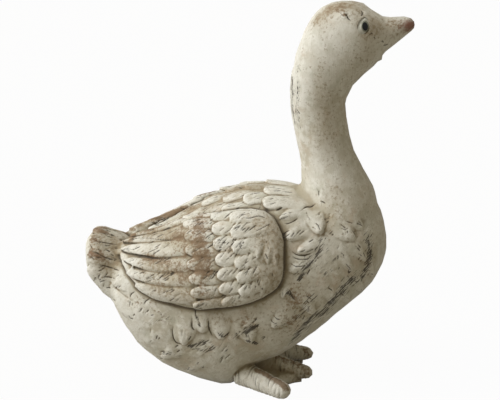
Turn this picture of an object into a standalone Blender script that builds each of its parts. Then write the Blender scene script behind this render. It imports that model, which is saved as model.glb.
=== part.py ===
"""A goose figurine, cast in one piece, standing on its belly and its two webbed feet.

Metres, +Z up. The goose looks along +X, and Y = 0 is its plane of symmetry. It is modelled with the end
of its rump at X = 0, and at the end the origin goes on the ground, under the middle of its box. Run it
in Blender 4.5: blender --background --python part.py
"""

import math

import bmesh
import bpy
import numpy as np
from mathutils import Matrix, Vector
from mathutils.bvhtree import BVHTree

# Body without its wings, from the rump to the front of the breast
BODY_LENGTH = 0.2885
BODY_HEIGHT = 0.200
BODY_WIDTH = 0.156

# Neck, from its root inside the breast up to its joint with the head
NECK_SETBACK = 0.0548
NECK_SINK = 0.035
NECK_RISE = 0.131
NECK_SWAY = 0.020
NECK_THICKNESS = 0.056
NECK_WIDTH = 0.051

# Head, from the top of the neck to the root of the beak
HEAD_REACH = 0.0685
HEAD_RISE = 0.0723
HEAD_DEPTH = 0.079
HEAD_WIDTH = 0.058

# Beak and eyes
BEAK_LENGTH = 0.0280
BEAK_RISE = 0.0088
BEAK_DEPTH = 0.0328
BEAK_WIDTH = 0.031
EYE_SIZE = 0.0115
EYE_SETBACK = 0.0242
EYE_LIFT = 0.0105

# Wings, folded on the body, and the rows of feathers on them
WING_SETBACK = 0.1025
WING_LENGTH = 0.172
WING_THICKNESS = 0.0118
COVERT_LENGTH = 0.038
COVERT_THICKNESS = 0.0046
PRIMARY_THICKNESS = 0.0046
PRIMARY_WIDTH = 0.0200

# The feathers on the back, between the wings
MANTLE_LENGTH = 0.032
MANTLE_WIDTH = 0.0190
MANTLE_THICKNESS = 0.0044

# Tail
TAIL_REACH = 0.0262
TAIL_HEIGHT = 0.078
TAIL_WIDTH = 0.072
TAIL_FEATHER_THICKNESS = 0.0050

# Small curled feathers on the breast and the belly
CURL_LENGTH = 0.026
CURL_THICKNESS = 0.0040

# Feet
FOOT_SETBACK = 0.1485
FOOT_SPREAD = 0.092
FOOT_WIDTH = 0.031
FOOT_RISE = 0.0195
TOE_LENGTH = 0.053
TOE_THICKNESS = 0.0265
LEG_LENGTH = 0.050
LEG_WIDTH = 0.036
LEG_HEIGHT = 0.052

# How finely the cast is modelled
GRAIN = 0.0016
TRIANGLES = 11600

# How square the sections of the body are, where 2 is an ellipse
SQUARENESS = 2.35

# Rows of each form, as shares of its sizes. A body row is its place along the length, the low and high
# level of its section, and its half width.
BODY_ROWS = (
    (0.000, 0.540, 0.600, 0.070),
    (0.010, 0.420, 0.670, 0.185),
    (0.041, 0.335, 0.715, 0.285),
    (0.110, 0.190, 0.765, 0.380),
    (0.205, 0.080, 0.825, 0.450),
    (0.340, 0.000, 0.935, 0.490),
    (0.445, -0.030, 1.006, 0.498),
    (0.500, 0.055, 1.033, 0.500),
    (0.560, 0.108, 1.043, 0.497),
    (0.630, 0.153, 1.045, 0.490),
    (0.750, 0.286, 1.025, 0.450),
    (0.852, 0.420, 1.000, 0.385),
    (0.930, 0.515, 0.990, 0.290),
    (0.978, 0.610, 0.930, 0.175),
    (1.000, 0.700, 0.790, 0.060),
)
# An axis row is a place along the body, and the level there of the line that its feathers are set round.
AXIS_ROWS = (
    (0.000, 0.570),
    (0.041, 0.525),
    (0.110, 0.478),
    (0.205, 0.453),
    (0.340, 0.468),
    (0.490, 0.500),
    (0.630, 0.543),
    (0.750, 0.653),
    (0.852, 0.710),
    (0.930, 0.753),
    (1.000, 0.770),
)
# A neck row is its rise, its sway back, its half thickness and its half width.
NECK_ROWS = (
    (0.00, 0.000, 0.850, 1.100),
    (0.27, -0.215, 0.700, 0.860),
    (0.39, -0.075, 0.634, 0.745),
    (0.54, 0.215, 0.540, 0.620),
    (0.67, 0.510, 0.504, 0.550),
    (0.84, 0.810, 0.495, 0.513),
    (1.00, 1.000, 0.500, 0.503),
)
# A head row is its reach, its rise, its half depth, its half width and its tilt in degrees.
HEAD_ROWS = (
    (0.022, 0.207, 0.370, 0.452, 6),
    (0.102, 0.436, 0.404, 0.474, 14),
    (0.231, 0.654, 0.461, 0.497, 24),
    (0.377, 0.885, 0.500, 0.503, 34),
    (0.533, 1.037, 0.478, 0.491, 43),
    (0.683, 1.083, 0.403, 0.457, 54),
    (0.807, 1.076, 0.333, 0.400, 65),
    (0.912, 1.024, 0.251, 0.331, 74),
)
# A beak row is the same, from the root to the tip.
BEAK_ROWS = (
    (0.00, 0.000, 0.500, 0.500, 83),
    (0.34, 0.400, 0.384, 0.445, 86),
    (0.64, 0.805, 0.305, 0.380, 88),
    (0.85, 0.974, 0.222, 0.306, 90),
    (0.97, 1.000, 0.116, 0.160, 90),
)
# A tail row is its reach back from the rump, its low and high level in the tail's height, and its half
# width.
TAIL_ROWS = (
    (-0.60, 0.05, 0.98, 0.46),
    (0.00, 0.12, 1.00, 0.50),
    (0.30, 0.25, 1.03, 0.49),
    (0.60, 0.39, 1.03, 0.44),
    (0.85, 0.52, 0.98, 0.34),
    (0.97, 0.61, 0.90, 0.20),
    (1.00, 0.67, 0.82, 0.08),
)
# A wing row is its place along the wing from the shoulder, the angles round the body, in degrees down
# from the top, at which its upper and lower edges lie, and its share of the thickness.
WING_ROWS = (
    (0.000, 48, 66, 0.16),
    (0.012, 42, 73, 0.46),
    (0.035, 36, 77, 0.68),
    (0.070, 30, 80, 0.83),
    (0.120, 26, 83, 0.95),
    (0.200, 23, 85, 1.00),
    (0.350, 22, 86, 1.00),
    (0.500, 18, 85, 0.95),
    (0.620, 13, 82, 0.72),
    (0.750, 9, 77, 0.62),
    (0.870, 7, 69, 0.56),
    (0.950, 9, 58, 0.50),
    (1.000, 14, 40, 0.40),
)
# A column of coverts is the place along the wing of their tips, how many there are, how far down the wing
# the first one lies and the step to the next. The lower ones end nearer the shoulder, by the slant.
COVERT_COLUMNS = (
    (0.297, 6, 0.150, 0.135),
    (0.407, 7, 0.100, 0.135),
    (0.575, 8, 0.050, 0.126),
)
COVERT_SLANT = 0.10
# A primary is the angle round the body of its root, the place along the wing and the angle of its tip, and
# its share of the width.
PRIMARY_ROOT = 0.50
PRIMARY_ROWS = (
    (8, 0.860, 5, 0.95),
    (20, 0.950, 13, 0.85),
    (32, 0.990, 22, 0.80),
    (43, 0.985, 33, 1.00),
    (54, 0.940, 46, 0.75),
    (63, 0.915, 56, 0.75),
    (74, 0.862, 66, 1.00),
)
# A row of feathers on the back is the place along the body of their tips, and their angles on one side.
MANTLE_ROWS = (
    (0.335, (0, 15)),
    (0.415, (8, 21)),
    (0.490, (0, 15)),
    (0.560, (8, 20)),
)


def through(rows, steps):
    """The rows joined by a smooth curve, with steps places between each two."""
    rows = np.array(rows, float)
    ends = np.vstack([2 * rows[0] - rows[1], rows, 2 * rows[-1] - rows[-2]])
    made = []
    for a, b, c, d in zip(ends, ends[1:], ends[2:], ends[3:]):
        for t in np.arange(steps) / steps:
            bend = (2 * a - 5 * b + 4 * c - d) * t * t + (3 * b - a - 3 * c + d) * t**3
            made.append(b + ((c - a) * t + bend) / 2)
    return np.array(made + [rows[-1]])


def row_at(rows, place):
    """The values of the rows at a place between them."""
    rows = np.array(rows, float)
    return [float(np.interp(place, rows[:, 0], column)) for column in rows.T[1:]]


def closed_form(name, rings):
    """A closed mesh through rings of points, with a cap at each end."""
    bm = bmesh.new()
    rows = [[bm.verts.new(point) for point in ring] for ring in rings]
    count = len(rows[0])
    for low, high in zip(rows, rows[1:]):
        for i in range(count):
            j = (i + 1) % count
            bm.faces.new((low[i], low[j], high[j], high[i]))
    bmesh.ops.remove_doubles(bm, verts=bm.verts, dist=GRAIN / 100)
    bmesh.ops.holes_fill(bm, edges=bm.edges)
    bmesh.ops.recalc_face_normals(bm, faces=bm.faces)
    mesh = bpy.data.meshes.new(name)
    bm.to_mesh(mesh)
    bm.free()
    form = bpy.data.objects.new(name, mesh)
    bpy.context.scene.collection.objects.link(form)
    return form


def evaluated(form):
    """The form with its modifiers applied."""
    mesh = bpy.data.meshes.new_from_object(form.evaluated_get(bpy.context.evaluated_depsgraph_get()))
    form.modifiers.clear()
    form.data = mesh
    return form


def fused(name, forms, grain, smoothing):
    """One closed skin round all the forms, with the creases between them filled a little."""
    bm = bmesh.new()
    for form in forms:
        bm.from_mesh(form.data)
        bpy.data.objects.remove(form)
    mesh = bpy.data.meshes.new(name)
    bm.to_mesh(mesh)
    bm.free()
    skin = bpy.data.objects.new(name, mesh)
    bpy.context.scene.collection.objects.link(skin)
    remesh = skin.modifiers.new("Skin", "REMESH")
    remesh.mode = "VOXEL"
    remesh.voxel_size = grain
    smooth = skin.modifiers.new("Smooth", "SMOOTH")
    smooth.factor = 0.5
    smooth.iterations = smoothing
    return evaluated(skin)


def ellipse(centre, half_a, half_b, count=40):
    """Points round an ellipse with two half axes."""
    angles = np.arange(count) * math.tau / count
    return [centre + half_a * math.cos(a) + half_b * math.sin(a) for a in angles]


def rounded_section(x, low, high, half_width):
    """A squarish ring at X = x between two levels, a little wider below its middle."""
    middle = (low + high) / 2
    ring = []
    for point in ellipse(Vector(), Vector((0, 0, 1)), Vector((0, 1, 0)), 48):
        out = (abs(point.y) ** SQUARENESS + abs(point.z) ** SQUARENESS) ** (-1 / SQUARENESS)
        y = point.y * out * half_width * (1 - 0.05 * point.z)
        ring.append(Vector((x, y, middle + point.z * out * (high - low) / 2)))
    return ring


def body():
    """The body, lofted along X."""
    rings = []
    for place, low, high, half_width in through(BODY_ROWS, 4):
        rings.append(rounded_section(place * BODY_LENGTH, low * BODY_HEIGHT, high * BODY_HEIGHT,
                                     half_width * BODY_WIDTH))
    return closed_form("body", rings)


def tail():
    """The lobe behind the rump that the tail feathers lie on."""
    base = tail_middle().z - TAIL_HEIGHT / 2
    rings = []
    for reach, low, high, half_width in through(TAIL_ROWS, 3):
        rings.append(rounded_section(-reach * TAIL_REACH, base + low * TAIL_HEIGHT,
                                     base + high * TAIL_HEIGHT, half_width * TAIL_WIDTH))
    return closed_form("tail", rings)


def tail_middle():
    """Where the tail leaves the rump."""
    return Vector((0, 0, BODY_HEIGHT * 0.575))


def neck_root():
    """The low end of the neck, inside the breast."""
    return Vector((BODY_LENGTH - NECK_SETBACK, 0, BODY_HEIGHT - NECK_SINK))


def head_joint():
    """Where the neck ends and the head begins."""
    return neck_root() + Vector((-NECK_SWAY, 0, NECK_RISE))


def beak_root():
    """Where the head ends and the beak begins."""
    return head_joint() + Vector((HEAD_REACH, 0, HEAD_RISE))


def neck_and_head():
    """The neck, the head and the beak, lofted through ellipses that tip forward as the neck bends."""
    rows = []
    for rise, sway, depth, width in NECK_ROWS:
        centre = neck_root() + Vector((-sway * NECK_SWAY, 0, rise * NECK_RISE))
        rows.append((*centre, depth * NECK_THICKNESS, width * NECK_WIDTH, 0))
    for reach, rise, depth, width, tilt in HEAD_ROWS:
        centre = head_joint() + Vector((reach * HEAD_REACH, 0, rise * HEAD_RISE))
        rows.append((*centre, depth * HEAD_DEPTH, width * HEAD_WIDTH, math.radians(tilt)))
    for reach, rise, depth, width, tilt in BEAK_ROWS:
        centre = beak_root() + Vector((reach * BEAK_LENGTH, 0, rise * BEAK_RISE))
        rows.append((*centre, depth * BEAK_DEPTH, width * BEAK_WIDTH, math.radians(tilt)))
    rings = []
    for x, y, z, depth, width, tilt in through(rows, 3):
        forward = Vector((math.cos(tilt), 0, -math.sin(tilt)))
        rings.append(ellipse(Vector((x, y, z)), forward * depth, Vector((0, width, 0)), 32))
    return closed_form("neck", rings)


def body_axis(x):
    """The place at X = x on the line that the body's feathers are set round."""
    level, = row_at(AXIS_ROWS, min(max(x / BODY_LENGTH, 0.03), 0.97))
    return Vector((x, 0, level * BODY_HEIGHT))


class Skin:
    """A surface that shapes are laid on."""

    def __init__(self, form):
        bm = bmesh.new()
        bm.from_mesh(form.data)
        self.tree = BVHTree.FromBMesh(bm)
        bm.free()

    def round_body(self, x, angle, side):
        """The point and normal at an angle, in degrees down from the top, round the body at X = x."""
        turn = math.radians(angle)
        outward = Vector((0, side * math.sin(turn), math.cos(turn)))
        return self.from_outside(body_axis(x) + outward * BODY_HEIGHT, -outward)

    def from_outside(self, start, direction):
        """The point and normal met first from start, or else the nearest ones."""
        point, normal, _, _ = self.tree.ray_cast(start, direction)
        if point is None:
            point, normal, _, _ = self.tree.find_nearest(start)
        return point, normal

    def leaf(self, name, root, tip, half_width, thickness, shape, rows=9, columns=7):
        """A feather laid on the skin from root to tip. Its shape gives its share of the half width and of
        the thickness at each share of its length and width."""
        run = tip[0] - root[0]
        upper = []
        lower = []
        for i in range(rows):
            along = 1 - (1 - i / (rows - 1)) ** 1.5
            normal = root[1].lerp(tip[1], along).normalized()
            across = normal.cross(run).normalized()
            spread, _ = shape(along, 0)
            top, bottom = [], []
            for j in range(columns):
                b = 2 * j / (columns - 1) - 1
                start = root[0] + run * along + across * (b * half_width * spread)
                point, out = self.from_outside(start + normal * thickness * 5, -normal)
                _, lift = shape(along, b)
                top.append(point + out * thickness * lift)
                bottom.append(point - out * thickness)
            upper.append(top)
            lower.append(bottom[::-1])
        return closed_form(name, [top + bottom for top, bottom in zip(upper, lower)])


def round_tip(along, across):
    """A covert: wide with a round tip, rising from under its neighbour to a step at the tip."""
    spread = max(1 - along**3.5, 0.02) ** 0.5 * (0.75 + 0.25 * math.sin(math.pi * along))
    return spread, (0.15 + 0.85 * along**0.8) * (1 - 0.65 * abs(across) ** 3)


def long_tip(along, across):
    """A primary: narrow, drawn out to a blunt point, with a ridge for its shaft."""
    spread = max(1 - along**2.6, 0.02) ** 0.75 * (0.8 + 0.2 * along)
    return spread, (0.45 + 0.55 * along) * (1 - 0.75 * abs(across) ** 2.5)


def petal(along, across):
    """A small curled feather: it swells from nothing to a soft round tip."""
    spread = max(math.sin(math.pi * min(along * 0.85 + 0.08, 1)), 0.05) ** 0.6
    return spread, (0.1 + 0.9 * math.sin(math.pi * along**1.6 / 2)) * (1 - 0.6 * across**2)


def wing_place(skin, along, down, side):
    """A point on the wing, at shares of its length from the shoulder and of its depth from the back."""
    upper, lower, _ = row_at(WING_ROWS, along)
    x = BODY_LENGTH - WING_SETBACK - along * WING_LENGTH
    return skin.round_body(x, upper + (lower - upper) * down, side)


def wing_pad(skin, side):
    """The folded wing without its feathers, a pad with round edges on the side of the body."""
    rows = []
    for row in through(WING_ROWS, 3):
        thickness = row[3] * WING_THICKNESS
        top, bottom = [], []
        for down in np.linspace(0, 1, 22):
            point, out = wing_place(skin, row[0], down, side)
            edge = (1 - abs(2 * down - 1) ** 7) ** 0.5
            top.append(point + out * thickness * edge)
            bottom.append(point - out * WING_THICKNESS / 2)
        rows.append(top + bottom[::-1])
    return closed_form("wing", rows)


def wing_feathers(skin, side):
    """Three columns of coverts behind the smooth shoulder, then the primaries, each over the next."""
    feathers = []
    for tip_at, count, first, step in COVERT_COLUMNS:
        upper, lower, _ = row_at(WING_ROWS, tip_at)
        for i in range(count):
            down = first + step * i
            tip_along = tip_at - COVERT_SLANT * (down - 0.4)
            tip = wing_place(skin, tip_along, down, side)
            root = wing_place(skin, tip_along - COVERT_LENGTH / WING_LENGTH, down - 0.04 * down, side)
            reach = (tip[0] - body_axis(tip[0].x)).length
            half_width = 0.53 * step * math.radians(lower - upper) * reach
            feathers.append(skin.leaf("covert", root, tip, half_width, COVERT_THICKNESS, round_tip))
    root_x = BODY_LENGTH - WING_SETBACK - PRIMARY_ROOT * WING_LENGTH
    for root_angle, tip_along, tip_angle, width in PRIMARY_ROWS:
        root = skin.round_body(root_x, root_angle, side)
        tip = skin.round_body(BODY_LENGTH - WING_SETBACK - tip_along * WING_LENGTH, tip_angle, side)
        half_width = width * PRIMARY_WIDTH / 2
        feathers.append(skin.leaf("primary", root, tip, half_width, PRIMARY_THICKNESS, long_tip, 15))
    return feathers


def mantle_feathers(skin, side):
    """Rows of round-tipped feathers on the back, between the wings."""
    feathers = []
    for tip_at, angles in MANTLE_ROWS:
        for angle in angles:
            tip = skin.round_body(tip_at * BODY_LENGTH, angle, side)
            root = skin.round_body(tip_at * BODY_LENGTH + MANTLE_LENGTH, angle, side)
            feathers.append(skin.leaf("mantle_feather", root, tip, MANTLE_WIDTH / 2, MANTLE_THICKNESS,
                                      round_tip))
    return feathers


def tail_feathers(skin):
    """A fan of round-tipped feathers over the lobe of the tail."""
    feathers = []
    centre = tail_middle() + Vector((TAIL_REACH * 0.75, 0, TAIL_HEIGHT * 0.06))
    for angle in (-112, -78, -46, -16, 16, 46, 78, 112):
        turn = math.radians(angle)
        aside = Vector((0, math.sin(turn), math.cos(turn)))
        tip_way = (Vector((-0.85, 0, 0)) + aside).normalized()
        root_way = (Vector((0.30, 0, 0)) + aside).normalized()
        tip = skin.from_outside(centre + tip_way * BODY_HEIGHT, -tip_way)
        root = skin.from_outside(centre + root_way * BODY_HEIGHT, -root_way)
        feathers.append(skin.leaf("tail_feather", root, tip, TAIL_WIDTH * 0.18, TAIL_FEATHER_THICKNESS,
                                  round_tip, 11))
    return feathers


def body_curls(skin, side):
    """Small curled feathers: two arcs on the breast and two rows on the belly under the wing."""
    places = [(0.705 + 0.02 * i, 46 + 15 * i, 24) for i in range(5)]
    places += [(0.80 + 0.012 * i, 50 + 17 * i, 18) for i in range(4)]
    places += [(0.20 + 0.085 * i, 112 + 3 * (i % 2), 150) for i in range(6)]
    places += [(0.26 + 0.10 * i, 128 + 4 * (i % 2), 160) for i in range(4)]
    feathers = []
    for along, angle, heading in places:
        point, normal = skin.round_body(along * BODY_LENGTH, angle, side)
        back = Vector((-1, 0, 0))
        down = normal.cross(back).normalized() * side
        turn = math.radians(heading)
        way = (back * math.cos(turn) + down * math.sin(turn)).normalized()
        root = skin.from_outside(point - way * CURL_LENGTH / 2 + normal * CURL_LENGTH, -normal)
        tip = skin.from_outside(point + way * CURL_LENGTH / 2 + normal * CURL_LENGTH, -normal)
        feathers.append(skin.leaf("curl", root, tip, CURL_LENGTH * 0.42, CURL_THICKNESS, petal, 9, 7))
    return feathers


def toe(start, end, taper):
    """A toe: a tapering roll with a round tip."""
    run = end - start
    across = run.cross(Vector((0, 0, 1))).normalized()
    up = across.cross(run).normalized()
    rings = []
    for along in np.linspace(0, 1, 16):
        tip = max((along - 0.80) / 0.20, 0)
        radius = TOE_THICKNESS / 2 * (1 - taper * along) * max(1 - tip**2.2, 0.01) ** 0.5
        rings.append(ellipse(start + run * along, across * radius, up * radius, 20))
    return closed_form("toe", rings)


def foot(side):
    """A foot: a short leg, an outer and an inner toe that come down to the ground, and the web."""
    heel = Vector((BODY_LENGTH - FOOT_SETBACK, side * FOOT_SPREAD / 2, FOOT_RISE))
    outer_end = heel + Vector((TOE_LENGTH, side * TOE_LENGTH * 0.50, 0))
    inner_start = heel + Vector((TOE_LENGTH * 0.38, -side * FOOT_WIDTH, 0))
    inner_end = inner_start + Vector((TOE_LENGTH * 1.03, side * TOE_LENGTH * 0.20, 0))
    outer_end.z = TOE_THICKNESS * 0.36
    inner_end.z = TOE_THICKNESS * 0.38
    web = []
    for along in np.linspace(-0.30, 0.80, 9):
        a = heel.lerp(outer_end, along)
        b = inner_start.lerp(inner_end, along)
        top = [a.lerp(b, t) for t in np.linspace(0, 1, 9)]
        for t, point in zip(np.linspace(0, 1, 9), top):
            point.x -= 0.16 * TOE_LENGTH * math.sin(math.pi * t) * max(along, 0)
        bottom = [Vector((p.x, p.y - side * inset, -TOE_THICKNESS * 0.2))
                  for p, inset in zip(reversed(top), np.linspace(0, FOOT_WIDTH * 0.35, 9))]
        web.append(top + bottom)
    leg = []
    for level in np.linspace(-0.1, 1, 7):
        centre = (heel + inner_start) / 2
        centre.z = level * LEG_HEIGHT
        leg.append(ellipse(centre, Vector((LEG_LENGTH / 2, 0, 0)), Vector((0, LEG_WIDTH / 2, 0)), 20))
    return [toe(heel, outer_end, 0.34), toe(inner_start, inner_end, 0.50), closed_form("web", web),
            closed_form("leg", leg)]


def eye(skin, side):
    """The bulge of an eye in its socket, on the side of the head."""
    place = beak_root() + Vector((-EYE_SETBACK, 0, EYE_LIFT))
    point, normal = skin.from_outside(place + Vector((0, side * HEAD_WIDTH, 0)), Vector((0, -side, 0)))
    bpy.ops.mesh.primitive_uv_sphere_add(segments=24, ring_count=12, radius=EYE_SIZE / 2)
    ball = bpy.context.object
    ball.data.transform(Matrix.Translation(point - normal * EYE_SIZE * 0.28))
    return ball


def stood_on_ground(form):
    """The form cut flat on the ground, with its origin under the middle of its box."""
    bm = bmesh.new()
    bm.from_mesh(form.data)
    everything = bm.verts[:] + bm.edges[:] + bm.faces[:]
    bmesh.ops.bisect_plane(bm, geom=everything, dist=GRAIN / 100, plane_co=(0, 0, 0), plane_no=(0, 0, 1),
                           clear_inner=True)
    bmesh.ops.holes_fill(bm, edges=[edge for edge in bm.edges if edge.is_boundary])
    bmesh.ops.dissolve_degenerate(bm, edges=bm.edges, dist=GRAIN / 20)
    bmesh.ops.triangulate(bm, faces=bm.faces)
    low, high = [Vector([pick(v.co[axis] for v in bm.verts) for axis in range(3)]) for pick in (min, max)]
    bmesh.ops.translate(bm, verts=bm.verts, vec=(-(low.x + high.x) / 2, -(low.y + high.y) / 2, 0))
    bm.to_mesh(form.data)
    bm.free()
    return form


def whitewashed_terracotta():
    """The matt, cream-coloured finish."""
    material = bpy.data.materials.new("whitewashed_terracotta")
    material.use_nodes = True
    shader = material.node_tree.nodes["Principled BSDF"]
    shader.inputs["Base Color"].default_value = (0.52, 0.47, 0.37, 1)
    shader.inputs["Roughness"].default_value = 0.85
    shader.inputs["Metallic"].default_value = 0.0
    return material


def goose():
    """The whole figurine, as one closed skin."""
    plain = fused("plain", [body(), neck_and_head(), tail()], GRAIN * 1.5, 14)
    skin = Skin(plain)
    eyes = [eye(skin, side) for side in (-1, 1)]
    curls = [curl for side in (-1, 1) for curl in body_curls(skin, side)]
    fan = tail_feathers(skin)
    pads = [wing_pad(skin, side) for side in (-1, 1)]
    winged = fused("winged", [plain, *eyes, *curls, *fan, *pads], GRAIN, 1)
    skin = Skin(winged)
    feathers = [feather for side in (-1, 1) for feather in wing_feathers(skin, side)]
    feathers += [feather for side in (-1, 1) for feather in mantle_feathers(skin, side)]
    feet = [piece for side in (-1, 1) for piece in foot(side)]
    cast = fused("goose_figurine", [winged, *feathers, *feet], GRAIN, 0)
    fewer = cast.modifiers.new("Fewer faces", "DECIMATE")
    fewer.ratio = TRIANGLES / (2 * len(cast.data.polygons))
    return stood_on_ground(evaluated(cast))


for old in list(bpy.data.objects):
    bpy.data.objects.remove(old)
figurine = goose()
figurine.data.materials.append(whitewashed_terracotta())
figurine.data.shade_smooth()
parts = bpy.data.collections.new("goose_figurine")
bpy.context.scene.collection.children.link(parts)
for user in figurine.users_collection:
    user.objects.unlink(figurine)
parts.objects.link(figurine)
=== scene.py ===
"""A standing goose, cast in terracotta, whitewashed and rubbed back.

Metres, in the frame's axes: the goose looks along +X, and Y = 0 is its plane of symmetry. What the
photograph shows of its right side, at -Y, is repeated on its left side. Pixels are those of a photograph
500 wide and 400 high.
"""

import math

import bpy
import numpy as np
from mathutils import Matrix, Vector, noise
from mathutils.bvhtree import BVHTree
from mathutils.kdtree import KDTree


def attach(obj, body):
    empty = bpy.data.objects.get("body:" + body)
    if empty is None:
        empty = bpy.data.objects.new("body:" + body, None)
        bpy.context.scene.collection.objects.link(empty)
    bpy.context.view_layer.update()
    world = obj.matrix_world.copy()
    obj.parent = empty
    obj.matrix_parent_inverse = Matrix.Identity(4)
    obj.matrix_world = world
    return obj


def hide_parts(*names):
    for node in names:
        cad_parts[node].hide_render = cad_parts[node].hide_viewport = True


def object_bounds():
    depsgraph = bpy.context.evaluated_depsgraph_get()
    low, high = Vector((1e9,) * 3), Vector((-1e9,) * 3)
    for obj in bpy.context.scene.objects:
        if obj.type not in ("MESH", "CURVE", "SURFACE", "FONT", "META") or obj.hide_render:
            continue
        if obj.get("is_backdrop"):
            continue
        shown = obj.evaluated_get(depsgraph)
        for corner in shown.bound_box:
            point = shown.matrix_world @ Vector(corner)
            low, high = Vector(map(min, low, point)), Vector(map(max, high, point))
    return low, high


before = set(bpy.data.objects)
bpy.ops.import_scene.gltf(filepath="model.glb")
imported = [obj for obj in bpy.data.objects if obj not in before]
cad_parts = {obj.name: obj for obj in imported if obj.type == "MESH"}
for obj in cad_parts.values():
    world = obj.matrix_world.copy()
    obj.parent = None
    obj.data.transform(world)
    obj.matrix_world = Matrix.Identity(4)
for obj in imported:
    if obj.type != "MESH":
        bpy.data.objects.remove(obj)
cad_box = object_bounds()

# Camera: a long lens, a little above the goose and almost square to its right side. It stands where the
# photograph's did, so a pixel of the photograph leads to the same place on the goose.
PHOTO_WIDTH, PHOTO_HEIGHT = 500, 400
# What a pixel covers at the goose's side
PIXEL = 0.00102
CAMERA_TARGET = Vector((0.00575, 0, 0.19333))
CAMERA_AZIMUTH = math.radians(4)
CAMERA_ELEVATION = math.radians(17)
CAMERA_DISTANCE = 1.25
CAMERA_LENS = 86.84
CAMERA_SENSOR = 36

away = Vector((math.sin(CAMERA_AZIMUTH) * math.cos(CAMERA_ELEVATION),
               -math.cos(CAMERA_AZIMUTH) * math.cos(CAMERA_ELEVATION),
               math.sin(CAMERA_ELEVATION)))
bpy.ops.object.camera_add(location=CAMERA_TARGET + away * CAMERA_DISTANCE,
                          rotation=away.to_track_quat("Z", "Y").to_euler())
camera = bpy.context.object
camera.name = "camera"
camera.data.lens = CAMERA_LENS
camera.data.sensor_width = CAMERA_SENSOR
bpy.context.scene.camera = camera
bpy.context.scene.view_settings.view_transform = "Standard"
camera_right = camera.matrix_world.to_3x3() @ Vector((1, 0, 0))
camera_up = camera.matrix_world.to_3x3() @ Vector((0, 1, 0))


def sight_line(pixel):
    """The camera's place and the direction in which it sees a pixel."""
    pixel_size = CAMERA_SENSOR / CAMERA_LENS / PHOTO_WIDTH
    right = (pixel[0] - PHOTO_WIDTH / 2) * pixel_size
    down = (pixel[1] - PHOTO_HEIGHT / 2) * pixel_size
    return camera.location.copy(), (camera_right * right - camera_up * down - away).normalized()


# Body, neck, head, beak and tail: the plain form under the feathers. It is one hollow casting from a
# two-part mould, so it has no joints, and each part is lofted through its sections and then fused.
RUMP = -0.1412
BODY_LENGTH, BODY_HEIGHT, BODY_WIDTH = 0.2885, 0.200, 0.156
NECK_SETBACK, NECK_SINK, NECK_RISE, NECK_SWAY = 0.0548, 0.035, 0.131, 0.020
NECK_THICKNESS, NECK_WIDTH = 0.056, 0.051
HEAD_REACH, HEAD_RISE, HEAD_DEPTH, HEAD_WIDTH = 0.0685, 0.0723, 0.079, 0.058
BEAK_LENGTH, BEAK_RISE, BEAK_DEPTH, BEAK_WIDTH = 0.0280, 0.0088, 0.0328, 0.031
TAIL_REACH, TAIL_HEIGHT, TAIL_WIDTH = 0.0262, 0.078, 0.072
SQUARENESS, BELLY_FULLNESS, TAIL_LEVEL = 2.35, 0.05, 0.575
BODY_FACETS, ROUND_FACETS, BODY_STEPS, ROW_STEPS = 48, 32, 4, 3
PLAIN_GRAIN, PLAIN_SMOOTHING = 0.0024, 14
# A body row is its place along the length, the low and high level of its section and its half width.
BODY_ROWS = (
    (0.000, 0.540, 0.600, 0.070),
    (0.010, 0.420, 0.670, 0.185),
    (0.041, 0.335, 0.715, 0.285),
    (0.110, 0.190, 0.765, 0.380),
    (0.205, 0.080, 0.825, 0.450),
    (0.340, 0.000, 0.935, 0.490),
    (0.445, -0.030, 1.006, 0.498),
    (0.500, 0.055, 1.033, 0.500),
    (0.560, 0.108, 1.043, 0.497),
    (0.630, 0.153, 1.045, 0.490),
    (0.750, 0.286, 1.025, 0.450),
    (0.852, 0.420, 1.000, 0.385),
    (0.930, 0.515, 0.990, 0.290),
    (0.978, 0.610, 0.930, 0.175),
    (1.000, 0.700, 0.790, 0.060),
)
# An axis row is a place along the body, and the level there of the line that its feathers are set round.
AXIS_ROWS = (
    (0.000, 0.570),
    (0.041, 0.525),
    (0.110, 0.478),
    (0.205, 0.453),
    (0.340, 0.468),
    (0.490, 0.500),
    (0.630, 0.543),
    (0.750, 0.653),
    (0.852, 0.710),
    (0.930, 0.753),
    (1.000, 0.770),
)
AXIS_FROM, AXIS_TO = 0.03, 0.97
# A neck row is its rise, its sway back, its half thickness and its half width.
NECK_ROWS = (
    (0.00, 0.000, 0.850, 1.100),
    (0.27, -0.215, 0.700, 0.860),
    (0.39, -0.075, 0.634, 0.745),
    (0.54, 0.215, 0.540, 0.620),
    (0.67, 0.510, 0.504, 0.550),
    (0.84, 0.760, 0.495, 0.513),
    (1.00, 0.915, 0.497, 0.503),
)
# A head or beak row is its reach, its rise, its half depth, its half width and its tilt in degrees.
HEAD_ROWS = (
    (0.040, 0.207, 0.378, 0.452, 8),
    (0.114, 0.436, 0.410, 0.474, 16),
    (0.231, 0.654, 0.461, 0.497, 24),
    (0.377, 0.885, 0.500, 0.503, 34),
    (0.533, 1.037, 0.478, 0.491, 43),
    (0.683, 1.083, 0.403, 0.457, 54),
    (0.807, 1.076, 0.333, 0.400, 65),
    (0.912, 1.024, 0.251, 0.331, 74),
)
BEAK_ROWS = (
    (0.00, 0.000, 0.500, 0.500, 83),
    (0.34, 0.400, 0.384, 0.445, 86),
    (0.64, 0.805, 0.305, 0.380, 88),
    (0.85, 0.974, 0.222, 0.306, 90),
    (0.97, 1.000, 0.116, 0.160, 90),
)
# A tail row is its reach back from the rump, its low and high level and its half width.
TAIL_ROWS = (
    (-0.60, 0.05, 0.98, 0.46),
    (0.00, 0.12, 1.00, 0.50),
    (0.30, 0.25, 1.03, 0.49),
    (0.60, 0.39, 1.03, 0.44),
    (0.85, 0.52, 0.98, 0.34),
    (0.97, 0.61, 0.90, 0.20),
    (1.00, 0.67, 0.82, 0.08),
)


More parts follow.
